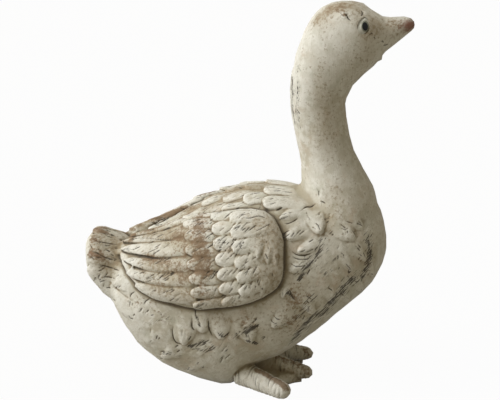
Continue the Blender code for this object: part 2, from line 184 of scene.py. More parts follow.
def through(rows, steps):
    """The rows joined by a smooth curve, with steps places between each two."""
    rows = np.array(rows, float)
    ends = np.vstack([2 * rows[0] - rows[1], rows, 2 * rows[-1] - rows[-2]])
    made = []
    for a, b, c, d in zip(ends, ends[1:], ends[2:], ends[3:]):
        for t in np.arange(steps) / steps:
            bend = (2 * a - 5 * b + 4 * c - d) * t * t + (3 * b - a - 3 * c + d) * t**3
            made.append(b + ((c - a) * t + bend) / 2)
    return np.array(made + [rows[-1]])


def row_at(rows, place):
    """The values of the rows at a place between them."""
    rows = np.array(rows, float)
    return [float(np.interp(place, rows[:, 0], column)) for column in rows.T[1:]]


def finished(form, *modifiers):
    """The form with the modifiers added and applied, each a kind and its settings."""
    bpy.ops.object.select_all(action="DESELECT")
    form.select_set(True)
    bpy.context.view_layer.objects.active = form
    for kind, settings in modifiers:
        modifier = form.modifiers.new(kind, kind)
        for name, value in settings.items():
            setattr(modifier, name, value)
        bpy.ops.object.modifier_apply(modifier=modifier.name)
    return form


def joined(name, forms):
    """The forms as one object."""
    bpy.ops.object.select_all(action="DESELECT")
    for form in forms:
        form.select_set(True)
    bpy.context.view_layer.objects.active = forms[0]
    bpy.ops.object.join()
    bpy.context.object.name = name
    return bpy.context.object


def fused(name, forms, grain, rounds):
    """The forms as one piece of clay with faces of one size, smoothed in a number of rounds."""
    return finished(joined(name, forms), ("REMESH", {"mode": "VOXEL", "voxel_size": grain}),
                    ("SMOOTH", {"factor": 0.5, "iterations": rounds}))


def ringed(name, rings):
    """A ball whose rings are drawn out to the given rings of points. Its poles close the two ends."""
    bpy.ops.object.select_all(action="DESELECT")
    count = len(rings[0])
    bpy.ops.mesh.primitive_uv_sphere_add(segments=count, ring_count=len(rings) + 1)
    form = bpy.context.object
    form.name = name
    for vertex in form.data.vertices:
        down = math.acos(max(min(vertex.co.z, 1), -1)) / math.pi * (len(rings) + 1)
        ring = min(max(round(down), 1), len(rings)) - 1
        if 0.5 < down < len(rings) + 0.5:
            turn = math.atan2(vertex.co.y, vertex.co.x) / math.tau * count
            vertex.co = rings[ring][round(turn) % count]
        else:
            vertex.co = sum(rings[ring], Vector()) / count
    bpy.ops.object.mode_set(mode="EDIT")
    bpy.ops.mesh.select_all(action="SELECT")
    bpy.ops.mesh.normals_make_consistent(inside=False)
    bpy.ops.object.mode_set(mode="OBJECT")
    return form


def ellipse(centre, half_a, half_b, count):
    """Points round an ellipse with two half axes."""
    angles = np.arange(count) * math.tau / count
    return [centre + half_a * math.cos(a) + half_b * math.sin(a) for a in angles]


def rounded_section(x, low, high, half_width):
    """A squarish ring at X = x between two levels, a little wider below its middle."""
    ring = []
    for point in ellipse(Vector(), Vector((0, 0, 1)), Vector((0, 1, 0)), BODY_FACETS):
        out = (abs(point.y) ** SQUARENESS + abs(point.z) ** SQUARENESS) ** (-1 / SQUARENESS)
        y = point.y * out * half_width * (1 - BELLY_FULLNESS * point.z)
        ring.append(Vector((x, y, (low + high) / 2 + point.z * out * (high - low) / 2)))
    return ring


def body():
    """The body from the rump to the breast."""
    return ringed("body", [rounded_section(RUMP + place * BODY_LENGTH, low * BODY_HEIGHT, high * BODY_HEIGHT,
                                           half_width * BODY_WIDTH)
                           for place, low, high, half_width in through(BODY_ROWS, BODY_STEPS)])


tail_root = Vector((RUMP, 0, BODY_HEIGHT * TAIL_LEVEL))
neck_root = Vector((RUMP + BODY_LENGTH - NECK_SETBACK, 0, BODY_HEIGHT - NECK_SINK))
head_joint = neck_root + Vector((-NECK_SWAY, 0, NECK_RISE))
beak_root = head_joint + Vector((HEAD_REACH, 0, HEAD_RISE))


def tail():
    """The lobe that the tail feathers lie on."""
    base = tail_root.z - TAIL_HEIGHT / 2
    return ringed("tail", [rounded_section(RUMP - reach * TAIL_REACH, base + low * TAIL_HEIGHT,
                                           base + high * TAIL_HEIGHT, half_width * TAIL_WIDTH)
                           for reach, low, high, half_width in through(TAIL_ROWS, ROW_STEPS)])


def neck_and_head():
    """The neck, head and beak, through ellipses that tip forward as the neck bends."""
    rows = []
    for rise, sway, depth, width in NECK_ROWS:
        centre = neck_root + Vector((-sway * NECK_SWAY, 0, rise * NECK_RISE))
        rows.append((*centre, depth * NECK_THICKNESS, width * NECK_WIDTH, 0))
    for reach, rise, depth, width, tilt in HEAD_ROWS:
        centre = head_joint + Vector((reach * HEAD_REACH, 0, rise * HEAD_RISE))
        rows.append((*centre, depth * HEAD_DEPTH, width * HEAD_WIDTH, math.radians(tilt)))
    for reach, rise, depth, width, tilt in BEAK_ROWS:
        centre = beak_root + Vector((reach * BEAK_LENGTH, 0, rise * BEAK_RISE))
        rows.append((*centre, depth * BEAK_DEPTH, width * BEAK_WIDTH, math.radians(tilt)))
    rings = []
    for x, y, z, depth, width, tilt in through(rows, ROW_STEPS):
        forward = Vector((math.cos(tilt), 0, -math.sin(tilt)))
        rings.append(ellipse(Vector((x, y, z)), forward * depth, Vector((0, width, 0)), ROUND_FACETS))
    return ringed("neck", rings)


class Skin:
    """A surface that shapes are laid on."""

    def __init__(self, form):
        """The surface of a form."""
        self.tree = BVHTree.FromObject(form, bpy.context.evaluated_depsgraph_get())

    def met(self, start, direction):
        """The point and normal met first from start, or else the nearest ones."""
        point, normal, _, _ = self.tree.ray_cast(start, direction)
        if point is None:
            point, normal, _, _ = self.tree.find_nearest(start)
        return point, normal

    def seen(self, pixel):
        """The point and normal under a pixel of the photograph, or nearest to it beside the goose."""
        start, direction = sight_line(pixel)
        point, normal, _, _ = self.tree.ray_cast(start, direction)
        if point is None:
            point, normal, _, _ = self.tree.find_nearest(start + direction * CAMERA_DISTANCE)
        return point, normal


plain = fused("plain", [body(), neck_and_head(), tail()], PLAIN_GRAIN, PLAIN_SMOOTHING)
plain_skin = Skin(plain)

# Wings: folded pads on the sides of the body, modelled in the same clay. Their shoulders are smooth, with
# soft petals, and behind them come three columns of scales and then the long feathers.
WING_SETBACK, WING_LENGTH, WING_THICKNESS = 0.1025, 0.172, 0.0112
PAD_SQUARENESS, PAD_ROUNDING, PAD_FACETS = 5, 0.6, 24
WINGED_GRAIN, WINGED_SMOOTHING = 0.0016, 3
# A wing row is its place along the wing from the shoulder, the angles round the body, in degrees down
# from the top, at which its upper and lower edges lie, and its share of the thickness.
WING_ROWS = (
    (0.000, 48, 66, 0.16),
    (0.012, 42, 73, 0.46),
    (0.035, 36, 77, 0.68),
    (0.070, 30, 80, 0.83),
    (0.120, 26, 83, 0.95),
    (0.200, 23, 85, 1.00),
    (0.350, 22, 86, 1.00),
    (0.500, 18, 85, 0.95),
    (0.620, 13, 82, 0.72),
    (0.750, 9, 77, 0.62),
    (0.870, 7, 69, 0.56),
    (0.950, 9, 58, 0.50),
    (1.000, 14, 40, 0.40),
)
# A column of scales is the place along the wing of their tips, how many there are, how far down the wing
# the first one lies, the step to the next, and their length. The lower ones end nearer the shoulder.
SCALE_COLUMNS = (
    (0.297, 6, 0.150, 0.135, 0.029),
    (0.407, 7, 0.100, 0.135, 0.038),
    (0.575, 8, 0.050, 0.126, 0.042),
)
SCALE_SLANT, SCALE_PIVOT, SCALE_DROOP = 0.10, 0.4, 0.04
SCALE_THICKNESS, SCALE_WIDTH_SHARE = 0.0044, 0.55
# How a feather's edge is rounded and cut, and how its barbs are combed: their number, length and slope
SCALE_EDGE = {"rim": 0.0019, "foot": 0.25, "line": 1.0, "combed": (7, 0.0115, 42), "root_free": 0.25}
LONG_EDGE = {"rim": 0.0022, "foot": 0.30, "line": 1.0, "combed": (15, 0.0125, 38), "edges": (-1,)}
MANTLE_EDGE = {"rim": 0.0030, "foot": 0.22, "line": 0.6, "combed": (8, 0.010, 24)}
SHOULDER_EDGE = {"rim": 0.0060, "foot": 0.0, "line": 0.35, "combed": (2, 0.006, 20)}
# A long feather is the angle round the body of its root, the place along the wing and the angle of its
# tip, and its half width.
LONG_ROOT = 0.50
LONG_FEATHERS = (
    (74, 0.885, 68, 0.0118),
    (63, 0.935, 58, 0.0088),
    (54, 0.960, 48, 0.0088),
    (43, 0.990, 34, 0.0116),
    (32, 0.990, 22, 0.0094),
    (20, 0.950, 13, 0.0096),
    (9, 0.860, 5, 0.0088),
)
LONG_THICKNESS = 0.0046
# Petals on the shoulder: pixels of the root and the tip, the half width in pixels and the thickness.
SHOULDER_PETALS = (
    ((272, 236), (276, 266), 6.0, 0.0010),
    ((268, 236), (268, 264), 6.0, 0.0020),
    ((262, 234), (256, 263), 5.5, 0.0036),
    ((270, 268), (268, 292), 6.0, 0.0010),
    ((265, 272), (261, 297), 5.5, 0.0022),
    ((258, 275), (250, 300), 6.0, 0.0038),
    ((273, 223), (251, 236), 7.0, 0.0020),
    ((270, 209), (245, 219), 7.5, 0.0020),
)
# A row of feathers on the back is the place along the body of their tips, and their angles.
MANTLE_LENGTH, MANTLE_WIDTH, MANTLE_THICKNESS = 0.032, 0.0212, 0.0038
MANTLE_ROWS = (
    (0.335, (0, 15)),
    (0.415, (8, 21)),
    (0.490, (0, 15)),
    (0.560, (8, 20)),
)


def body_axis(x):
    """The place at X = x on the line that the body's feathers are set round."""
    level, = row_at(AXIS_ROWS, min(max((x - RUMP) / BODY_LENGTH, AXIS_FROM), AXIS_TO))
    return Vector((x, 0, level * BODY_HEIGHT))


def round_body(skin, x, angle):
    """The skin's point and normal at an angle, in degrees down from the top, on the right at X = x."""
    turn = math.radians(angle)
    outward = Vector((0, -math.sin(turn), math.cos(turn)))
    return skin.met(body_axis(x) + outward * BODY_HEIGHT, -outward)


def wing_x(along):
    """The X of a place along the wing."""
    return RUMP + BODY_LENGTH - WING_SETBACK - along * WING_LENGTH


def wing_place(skin, along, down):
    """A point of the right wing, at shares of its length from the shoulder and of its depth."""
    upper, lower, _ = row_at(WING_ROWS, along)
    return round_body(skin, wing_x(along), upper + (lower - upper) * down)


def wing_pad(skin):
    """The wing without its feathers, a pad with round edges."""
    rings = []
    for row in through(WING_ROWS, ROW_STEPS):
        thickness = row[3] * WING_THICKNESS
        top, bottom = [], []
        for down in np.linspace(0, 1, PAD_FACETS):
            point, out = wing_place(skin, row[0], down)
            edge = (1 - abs(2 * down - 1) ** PAD_SQUARENESS) ** PAD_ROUNDING
            top.append(point + out * thickness * edge)
            bottom.append(point - out * WING_THICKNESS / 2)
        rings.append(top + bottom[::-1])
    return ringed("wing", rings)


# A sheet's faces, the steps of the curve that it follows, the thicknesses from which it is dropped onto
# the skin, how far it reaches into the skin, and how much closer its rows are at the tip
SHEET_COLUMNS, SHEET_ROWS, CURVE_STEPS, DROP_HEIGHT, SUNK, TIP_CROWDING = 14, 26, 12, 5, 0.007, 1.5
# A rim starts at the last 0.8 of a sheet's length, faint at first.
RIM_STEP, RIM_SPAN, RIM_FAINTEST, RIM_GAIN = 0.0007, 0.8, 0.15, 1.2
# The barbs scratched into a sheet: the spread of their slope, their lengths, and where they start
STROKE_SPREAD, STROKE_LENGTHS, STROKE_DARKNESS = 8, (0.5, 1.2), (0.15, 1.0)
STROKE_ALONG, STROKE_ACROSS, STROKE_EDGE, STROKE_PLACES = (0.35, 0.99), (-0.85, 0.55), 0.95, 12
rims, strokes = [], []
chance = np.random.default_rng(7)


def laid(name, skin, places, half_width, thickness, outline, section, rim, foot, line, combed,
         edges=(-1, 1), root_free=0.0):
    """A sheet laid on the skin as a feather, along a curve through places, each a point and its normal.
    The outline gives its share of the half width at each share of its length, the section its share of
    the thickness, the rim is how far its edges are rounded and the foot the share left at the edge. Line
    is how strongly its edge is cut, past the share of its length that root_free leaves uncut, and combed
    is its strokes' number, length and slope in degrees."""
    bpy.ops.object.select_all(action="DESELECT")
    bpy.ops.mesh.primitive_grid_add(x_subdivisions=SHEET_COLUMNS, y_subdivisions=SHEET_ROWS, size=2)
    sheet = bpy.context.object
    sheet.name = name
    curve = through([tuple(point) + tuple(normal) for point, normal in places], CURVE_STEPS)
    length = sum(np.linalg.norm(b[:3] - a[:3]) for a, b in zip(curve, curve[1:]))

    def spot(along, across):
        """The point and normal at shares of the length and of the half width."""
        step = along * (len(curve) - 1)
        i = min(int(step), len(curve) - 2)
        mixed = curve[i] + (curve[i + 1] - curve[i]) * (step - i)
        normal = Vector(mixed[3:]).normalized()
        sideways = Vector(curve[i + 1][:3] - curve[i][:3]).cross(normal).normalized()
        half = half_width * outline(along)
        start = Vector(mixed[:3]) + sideways * (across * half) + normal * thickness * DROP_HEIGHT
        inside = min(half * (1 - abs(across)), (1 - along) * length) / rim
        rounding = 1 - (1 - min(inside, 1)) ** 2
        height = thickness * section(along, across) * (foot + (1 - foot) * rounding)
        return skin.met(start, -normal)[0] + normal * height

    for vertex in sheet.data.vertices:
        across = vertex.co.x
        along = 1 - ((1 - vertex.co.y) / 2) ** TIP_CROWDING
        vertex.co = spot(along, across)
    for along in 1 - np.linspace(1, 0, int(length / RIM_STEP)) ** 2 * RIM_SPAN:
        strength = line * min(1, RIM_FAINTEST + RIM_GAIN * max(along - root_free, 0))
        rims.extend((spot(along, across), strength) for across in edges)
    count, reach, slope = combed
    for _ in range(count):
        turn = math.radians(slope + chance.normal(0, STROKE_SPREAD))
        run = reach * chance.uniform(*STROKE_LENGTHS)
        along, across = chance.uniform(*STROKE_ALONG), chance.uniform(*STROKE_ACROSS)
        back, rise = math.cos(turn) * run / length, math.sin(turn) * run / half_width
        darkness = chance.uniform(*STROKE_DARKNESS)
        strokes.append((darkness, [spot(max(along - back * t, 0), min(across + rise * t, STROKE_EDGE))
                                   for t in np.linspace(0, 1, STROKE_PLACES)]))
    return finished(sheet, ("SOLIDIFY", {"thickness": thickness + SUNK, "offset": -1.0}))


def mirrored(forms):
    """The forms and their mirror images on the other side of the goose."""
    copies = []
    for form in forms:
        copy = form.copy()
        copy.data = form.data.copy()
        for vertex in copy.data.vertices:
            vertex.co.y = -vertex.co.y
        copy.data.flip_normals()
        bpy.context.scene.collection.objects.link(copy)
        copies.append(copy)
    return forms + copies


def scale_outline(along):
    """Wide, with a half-round tip."""
    return max(1 - (max(along - 0.70, 0) / 0.30) ** 2.2, 0.0004) ** 0.5 * (0.88 + 0.12 * min(along / 0.7, 1))


def scale_section(along, across):
    """Rising from under its neighbour to the tip, and round across."""
    return (0.10 + 0.90 * along**0.9) * (1 - 0.28 * abs(across) ** 2)


def long_outline(along):
    """Narrow, drawn out to a blunt point."""
    return max(1 - along**3.2, 0.0004) ** 0.65 * (0.85 + 0.15 * along)


def long_section(along, across):
    """Round across, and higher towards the lower edge, which lies over the next feather."""
    return (0.50 + 0.50 * along) * (0.75 - 0.25 * across) * (1 - 0.25 * abs(across) ** 2)


def petal_outline(along):
    """A pointed oval."""
    return max(math.sin(math.pi * min(along * 0.82 + 0.14, 1)), 0.02) ** 0.7


def petal_section(along, across):
    """Swelling softly from nothing towards the tip."""
    return (0.05 + 0.95 * math.sin(math.pi * along**1.4 / 2)) * (1 - 0.65 * across**2)


def petals(skin, rows, outline, edge):
    """Soft petals, each from the pixels of its root and tip, its half width in pixels and its thickness."""
    made = []
    for root, tip, half_width, thickness in rows:
        middle = ((root[0] + tip[0]) / 2, (root[1] + tip[1]) / 2)
        places = [skin.seen(pixel) for pixel in (root, middle, tip)]
        made.append(laid("petal", skin, places, half_width * PIXEL, thickness, outline, petal_section,
                         **edge))
    return made


def wing_scales(skin):
    """The columns of scales behind the shoulder."""
    scales = []
    for tip_at, count, first, step, length in SCALE_COLUMNS:
        upper, lower, _ = row_at(WING_ROWS, tip_at)
        for i in range(count):
            down = first + step * i
            tip_along = tip_at - SCALE_SLANT * (down - SCALE_PIVOT)
            places = []
            for share in (0, 0.5, 1):
                back = (1 - share) * length / WING_LENGTH
                places.append(wing_place(skin, tip_along - back, down - SCALE_DROOP * down * (1 - share)))
            reach = (places[-1][0] - body_axis(places[-1][0].x)).length
            half_width = SCALE_WIDTH_SHARE * step * math.radians(lower - upper) * reach
            scales.append(laid("scale", skin, places, half_width, SCALE_THICKNESS, scale_outline,
                               scale_section, **SCALE_EDGE))
    return scales


def wing_long_feathers(skin):
    """The long feathers of the wing's end."""
    feathers = []
    for root_angle, tip_along, tip_angle, half_width in LONG_FEATHERS:
        places = []
        for share in (0, 0.5, 1):
            along = LONG_ROOT + (tip_along - LONG_ROOT) * share
            places.append(round_body(skin, wing_x(along), root_angle + (tip_angle - root_angle) * share))
        feathers.append(laid("long_feather", skin, places, half_width, LONG_THICKNESS, long_outline,
                             long_section, **LONG_EDGE))
    return feathers


def mantle_feathers(skin):
    """The rows of feathers on the back, between the wings."""
    feathers = []
    for tip_at, angles in MANTLE_ROWS:
        for angle in angles:
            x = RUMP + tip_at * BODY_LENGTH
            places = [round_body(skin, x + MANTLE_LENGTH * share, angle) for share in (1, 0.5, 0)]
            feathers.append(laid("mantle_feather", skin, places, MANTLE_WIDTH / 2, MANTLE_THICKNESS,
                                 scale_outline, scale_section, **MANTLE_EDGE))
    return feathers


pads = mirrored([wing_pad(plain_skin)])
winged = fused("winged", [plain, *pads], WINGED_GRAIN, WINGED_SMOOTHING)
wing_skin = Skin(winged)
feathers = petals(wing_skin, SHOULDER_PETALS, petal_outline, SHOULDER_EDGE)
feathers += wing_scales(wing_skin) + wing_long_feathers(wing_skin) + mantle_feathers(wing_skin)
# The crease round the wing, where its pad meets the body
SEAM_PLACES, SHOULDER_PLACES = 400, 60
seam = [wing_place(plain_skin, along, down) for down in (1, 0) for along in np.linspace(0, 1, SEAM_PLACES)]
seam += [wing_place(plain_skin, 0, down) for down in np.linspace(0, 1, SHOULDER_PLACES)]

# Tail: a fan of round-tipped feathers over the lobe, modelled in the same clay. Their tips meet at the
# lobe's end, and they spread forwards from there, down both sides.
TAIL_FEATHER_THICKNESS, TAIL_FEATHER_SHARE = 0.0034, 0.17
TAIL_ANGLES = (0, 30, 60, 90, 118)
TAIL_EDGE = {"rim": 0.0024, "foot": 0.25, "line": 1.0, "combed": (6, 0.008, 30)}
FAN_REACH, FAN_RISE, FAN_BACK = 0.75, 0.06, (0.95, 0.45, 0.02)


def tail_feathers(skin):
    """The fan's feathers, from the top one down the right side."""
    feathers = []
    centre = tail_root + Vector((-TAIL_REACH * FAN_REACH, 0, TAIL_HEIGHT * FAN_RISE))
    for angle in TAIL_ANGLES:
        turn = math.radians(angle)
        aside = Vector((0, -math.sin(turn), math.cos(turn)))
        places = []
        for back in FAN_BACK:
            way = (Vector((back, 0, 0)) + aside).normalized()
            places.append(skin.met(centre + way * BODY_HEIGHT, -way))
        feathers.append(laid("tail_feather", skin, places, TAIL_WIDTH * TAIL_FEATHER_SHARE,
                             TAIL_FEATHER_THICKNESS, scale_outline, scale_section, **TAIL_EDGE))
    return feathers


feathers += tail_feathers(wing_skin)

# Breast and belly: soft tufts of down, modelled on the body before the mould was made. They overlap at the
# shoulder and under the wing, and thin out towards the rump.
# A tuft is the pixels of its root and tip, its half width in pixels and its thickness.
TUFTS = (
    ((304, 209), (279, 219), 7.5, 0.0034),
    ((308, 226), (285, 239), 9.0, 0.0034),
    ((319, 242), (297, 252), 7.5, 0.0036),
    ((313, 261), (289, 271), 8.0, 0.0024),
    ((312, 210), (321, 235), 10.5, 0.0040),
    ((333, 220), (355, 240), 12.0, 0.0028),
    ((344, 216), (364, 228), 9.0, 0.0018),
    ((338, 248), (352, 272), 7.0, 0.0018),
    ((352, 240), (366, 262), 7.0, 0.0016),
    ((291, 282), (282, 298), 6.5, 0.0026),
    ((294, 309), (272, 328), 11.0, 0.0032),
    ((302, 296), (314, 314), 8.0, 0.0022),
    ((326, 286), (334, 303), 7.0, 0.0020),
    ((340, 286), (348, 302), 7.5, 0.0016),
    ((354, 276), (362, 291), 6.5, 0.0022),
    ((366, 258), (373, 276), 6.5, 0.0020),
    ((263, 315), (243, 327), 8.0, 0.0022),
    ((191, 310), (183, 345), 12.0, 0.0026),
    ((203, 306), (202, 333), 12.0, 0.0028),
    ((220, 308), (221, 340), 11.5, 0.0026),
    ((188, 346), (161, 357), 10.0, 0.0022),
    ((240, 312), (251, 343), 12.5, 0.0024),
    ((152, 301), (138, 314), 9.0, 0.0011),
    ((137, 299), (128, 319), 8.5, 0.0013),
    ((162, 328), (146, 343), 9.0, 0.0010),
    ((206, 361), (187, 371), 7.5, 0.0015),
)
TUFT_EDGE = {"rim": 0.0048, "foot": 0.0, "line": 0.14, "combed": (4, 0.008, 12)}


def tuft_outline(along):
    """Broad, with a round tip."""
    return max(math.sin(math.pi * min(0.34 + 0.66 * along, 1)), 0.02) ** 0.5


feathers += petals(wing_skin, TUFTS, tuft_outline, TUFT_EDGE)

# Head: the eyes stand out a little between their lids. A flake of clay was left behind each brow, and there
# is a small fold under the beak.
EYE_PIXEL, EYE_RADIUS, EYE_STANDS_OUT, EYE_FACETS = (364.4, 26.5), 0.0072, 0.0016, (32, 16)
# The eye's paint: pixels of the middle, and the tilt in degrees and half axes in pixels of its ovals
EYE_WHITE_PIXEL, EYE_WHITE_OVAL = (363.4, 26.6), (-17, 4.9, 7.6)
PUPIL_PIXEL, PUPIL_OVAL, IRIS_SHARE = (365.1, 26.6), (13, 2.7, 3.9), 1.36
CHIN_PIXEL, CHIN_RADIUS, CHIN_FACETS = (377.6, 57.6), 0.0054, (24, 12)
FLAKE = (((340, 10), (347, 19), 3.8, 0.0020),)
FLAKE_EDGE = {"rim": 0.0060, "foot": 0.0, "line": 0.25, "combed": (3, 0.006, 8)}


def ball(centre, radius, facets, scale=(1, 1, 1)):
    """A ball of a number of segments and rings, drawn out by a scale."""
    bpy.ops.object.select_all(action="DESELECT")
    bpy.ops.mesh.primitive_uv_sphere_add(segments=facets[0], ring_count=facets[1], radius=radius,
                                         location=centre, scale=scale)
    bpy.ops.object.transform_apply(location=True, rotation=True, scale=True)
    return bpy.context.object


def eye(skin):
    """The right eye's ball, sunk in the head."""
    point, normal = skin.seen(EYE_PIXEL)
    return ball(point - normal * (EYE_RADIUS - EYE_STANDS_OUT), EYE_RADIUS, EYE_FACETS)


def chin(skin):
    """A small fold of clay under the root of the beak."""
    point, _ = skin.seen(CHIN_PIXEL)
    return ball((point.x, 0, point.z), CHIN_RADIUS, CHIN_FACETS, (1, 2, 1))


head_details = [eye(wing_skin), chin(wing_skin)] + petals(wing_skin, FLAKE, petal_outline, FLAKE_EDGE)

# Feet: two toes on each side, rolled by hand and wrinkled across, with a web pressed between them. Each foot
# comes out of the belly on a short leg.
FOOT_SETBACK, FOOT_SPREAD, FOOT_WIDTH, FOOT_RISE = 0.1485, 0.092, 0.031, 0.0195
TOE_LENGTH, TOE_THICKNESS = 0.053, 0.0265
LEG_LENGTH, LEG_WIDTH, LEG_HEIGHT = 0.050, 0.036, 0.052
OUTER_TAPER, INNER_TAPER = 0.34, 0.50
# As shares of a toe's length: how far the outer toe turns out, where the inner one starts, how long it is
# and how far it turns out. As shares of its thickness: the levels of their ends
OUTER_TURN, INNER_START, INNER_RUN, INNER_TURN = 0.50, 0.38, 1.03, 0.20
OUTER_LEVEL, INNER_LEVEL = 0.36, 0.38
TIP_FROM, TIP_SQUARENESS, TOE_RINGS = 0.80, 2.2, 40
WRINKLES = (0.02, 0.08, 0.13, 0.20, 0.25, 0.31, 0.38, 0.43, 0.50, 0.55, 0.62, 0.67, 0.74, 0.80, 0.86)
WRINKLE_PLACES, WRINKLE_WANDER, WRINKLE_SLANT = 110, 0.018, 0.035
WRINKLE_LINE, WRINKLE_CHANGE, WRINKLE_BREAKS = 0.46, 0.13, 0.20
# The leg and the web draw in towards the ground, out of sight.
LEG_INSET, LEG_GROUND_SHARE, WEB_INSET = 0.011, 0.4, 0.022
WEB_FROM, WEB_TO, WEB_SCALLOP, WEB_STEPS, LEG_RINGS = -0.30, 0.80, 0.16, 12, 12


def toe_radius(along, taper):
    """The toe's radius at a share of its length."""
    tip = max((along - TIP_FROM) / (1 - TIP_FROM), 0)
    return TOE_THICKNESS / 2 * (1 - taper * along) * max(1 - tip**TIP_SQUARENESS, 0.01) ** 0.5


def toe(start, end, taper):
    """A tapering roll with a round tip, whose wrinkles are noted to be cut later."""
    run = end - start
    across = run.cross(Vector((0, 0, 1))).normalized()
    up = across.cross(run).normalized()
    rings = []
    for along in np.linspace(0, 1, TOE_RINGS):
        radius = toe_radius(along, taper)
        rings.append(ellipse(start + run * along, across * radius, up * radius, ROUND_FACETS))
    for along in WRINKLES:
        radius = toe_radius(along, taper)
        for point in ellipse(start + run * along, across * radius, up * radius, WRINKLE_PLACES):
            height = (point - start - run * along).dot(up) / radius
            wander = WRINKLE_WANDER * math.sin(2.6 * height + 23 * along) - WRINKLE_SLANT * height
            line = (WRINKLE_LINE + WRINKLE_CHANGE * math.sin(31 * along)
                    + WRINKLE_BREAKS * math.sin(3 * height + 17 * along))
            rims.append((point + run * wander, max(line, 0.05)))
    return ringed("toe", rings)


def web(heel, outer_end, inner_start, inner_end):
    """The web between the toes, which reaches down to the ground."""
    rings = []
    insets = np.linspace(0, WEB_INSET, WEB_STEPS)
    for along in np.linspace(WEB_FROM, WEB_TO, WEB_STEPS):
        outer, inner = heel.lerp(outer_end, along), inner_start.lerp(inner_end, along)
        top = []
        for share in np.linspace(0, 1, WEB_STEPS):
            point = outer.lerp(inner, share)
            point.x -= WEB_SCALLOP * TOE_LENGTH * math.sin(math.pi * share) * max(along, 0)
            top.append(point)
        rings.append(top + [Vector((p.x, p.y + inset, 0)) for p, inset in zip(reversed(top), insets)])
    return ringed("web", rings)


def leg(centre):
    """The short leg over the ground at a centre."""
    rings = []
    forward = Vector((LEG_LENGTH / 2, 0, 0))
    for level in np.linspace(0, 1, LEG_RINGS):
        middle = Vector((centre.x, centre.y + LEG_INSET * (1 - level), level * LEG_HEIGHT))
        half_width = LEG_WIDTH / 2 * (LEG_GROUND_SHARE + (1 - LEG_GROUND_SHARE) * level)
        rings.append(ellipse(middle, forward, Vector((0, half_width, 0)), ROUND_FACETS))
    return ringed("leg", rings)


def foot():
    """The right foot: a short leg, an outer and an inner toe that come down to the ground, and the web."""
    heel = Vector((RUMP + BODY_LENGTH - FOOT_SETBACK, -FOOT_SPREAD / 2, FOOT_RISE))
    outer_end = heel + Vector((TOE_LENGTH, -TOE_LENGTH * OUTER_TURN, 0))
    inner_start = heel + Vector((TOE_LENGTH * INNER_START, FOOT_WIDTH, 0))
    inner_end = inner_start + Vector((TOE_LENGTH * INNER_RUN, -TOE_LENGTH * INNER_TURN, 0))
    outer_end.z = TOE_THICKNESS * OUTER_LEVEL
    inner_end.z = TOE_THICKNESS * INNER_LEVEL
    return [toe(heel, outer_end, OUTER_TAPER), toe(inner_start, inner_end, INNER_TAPER),
            web(heel, outer_end, inner_start, inner_end), leg((heel + inner_start) / 2)]


# The casting: all the clay is fused into one piece, as it came from the mould. Then the feathers' rims, the
# crease round the wings and the finer lines are cut into it with a modelling tool.
GRAIN, SMOOTHING = 0.00090, 1
FACES, LINE_CARE, CARE_LEVELS = 196000, 0.4, 10
goose = fused("goose", [winged, *mirrored(feathers + head_details + foot())], GRAIN, SMOOTHING)
goose_skin = Skin(goose)
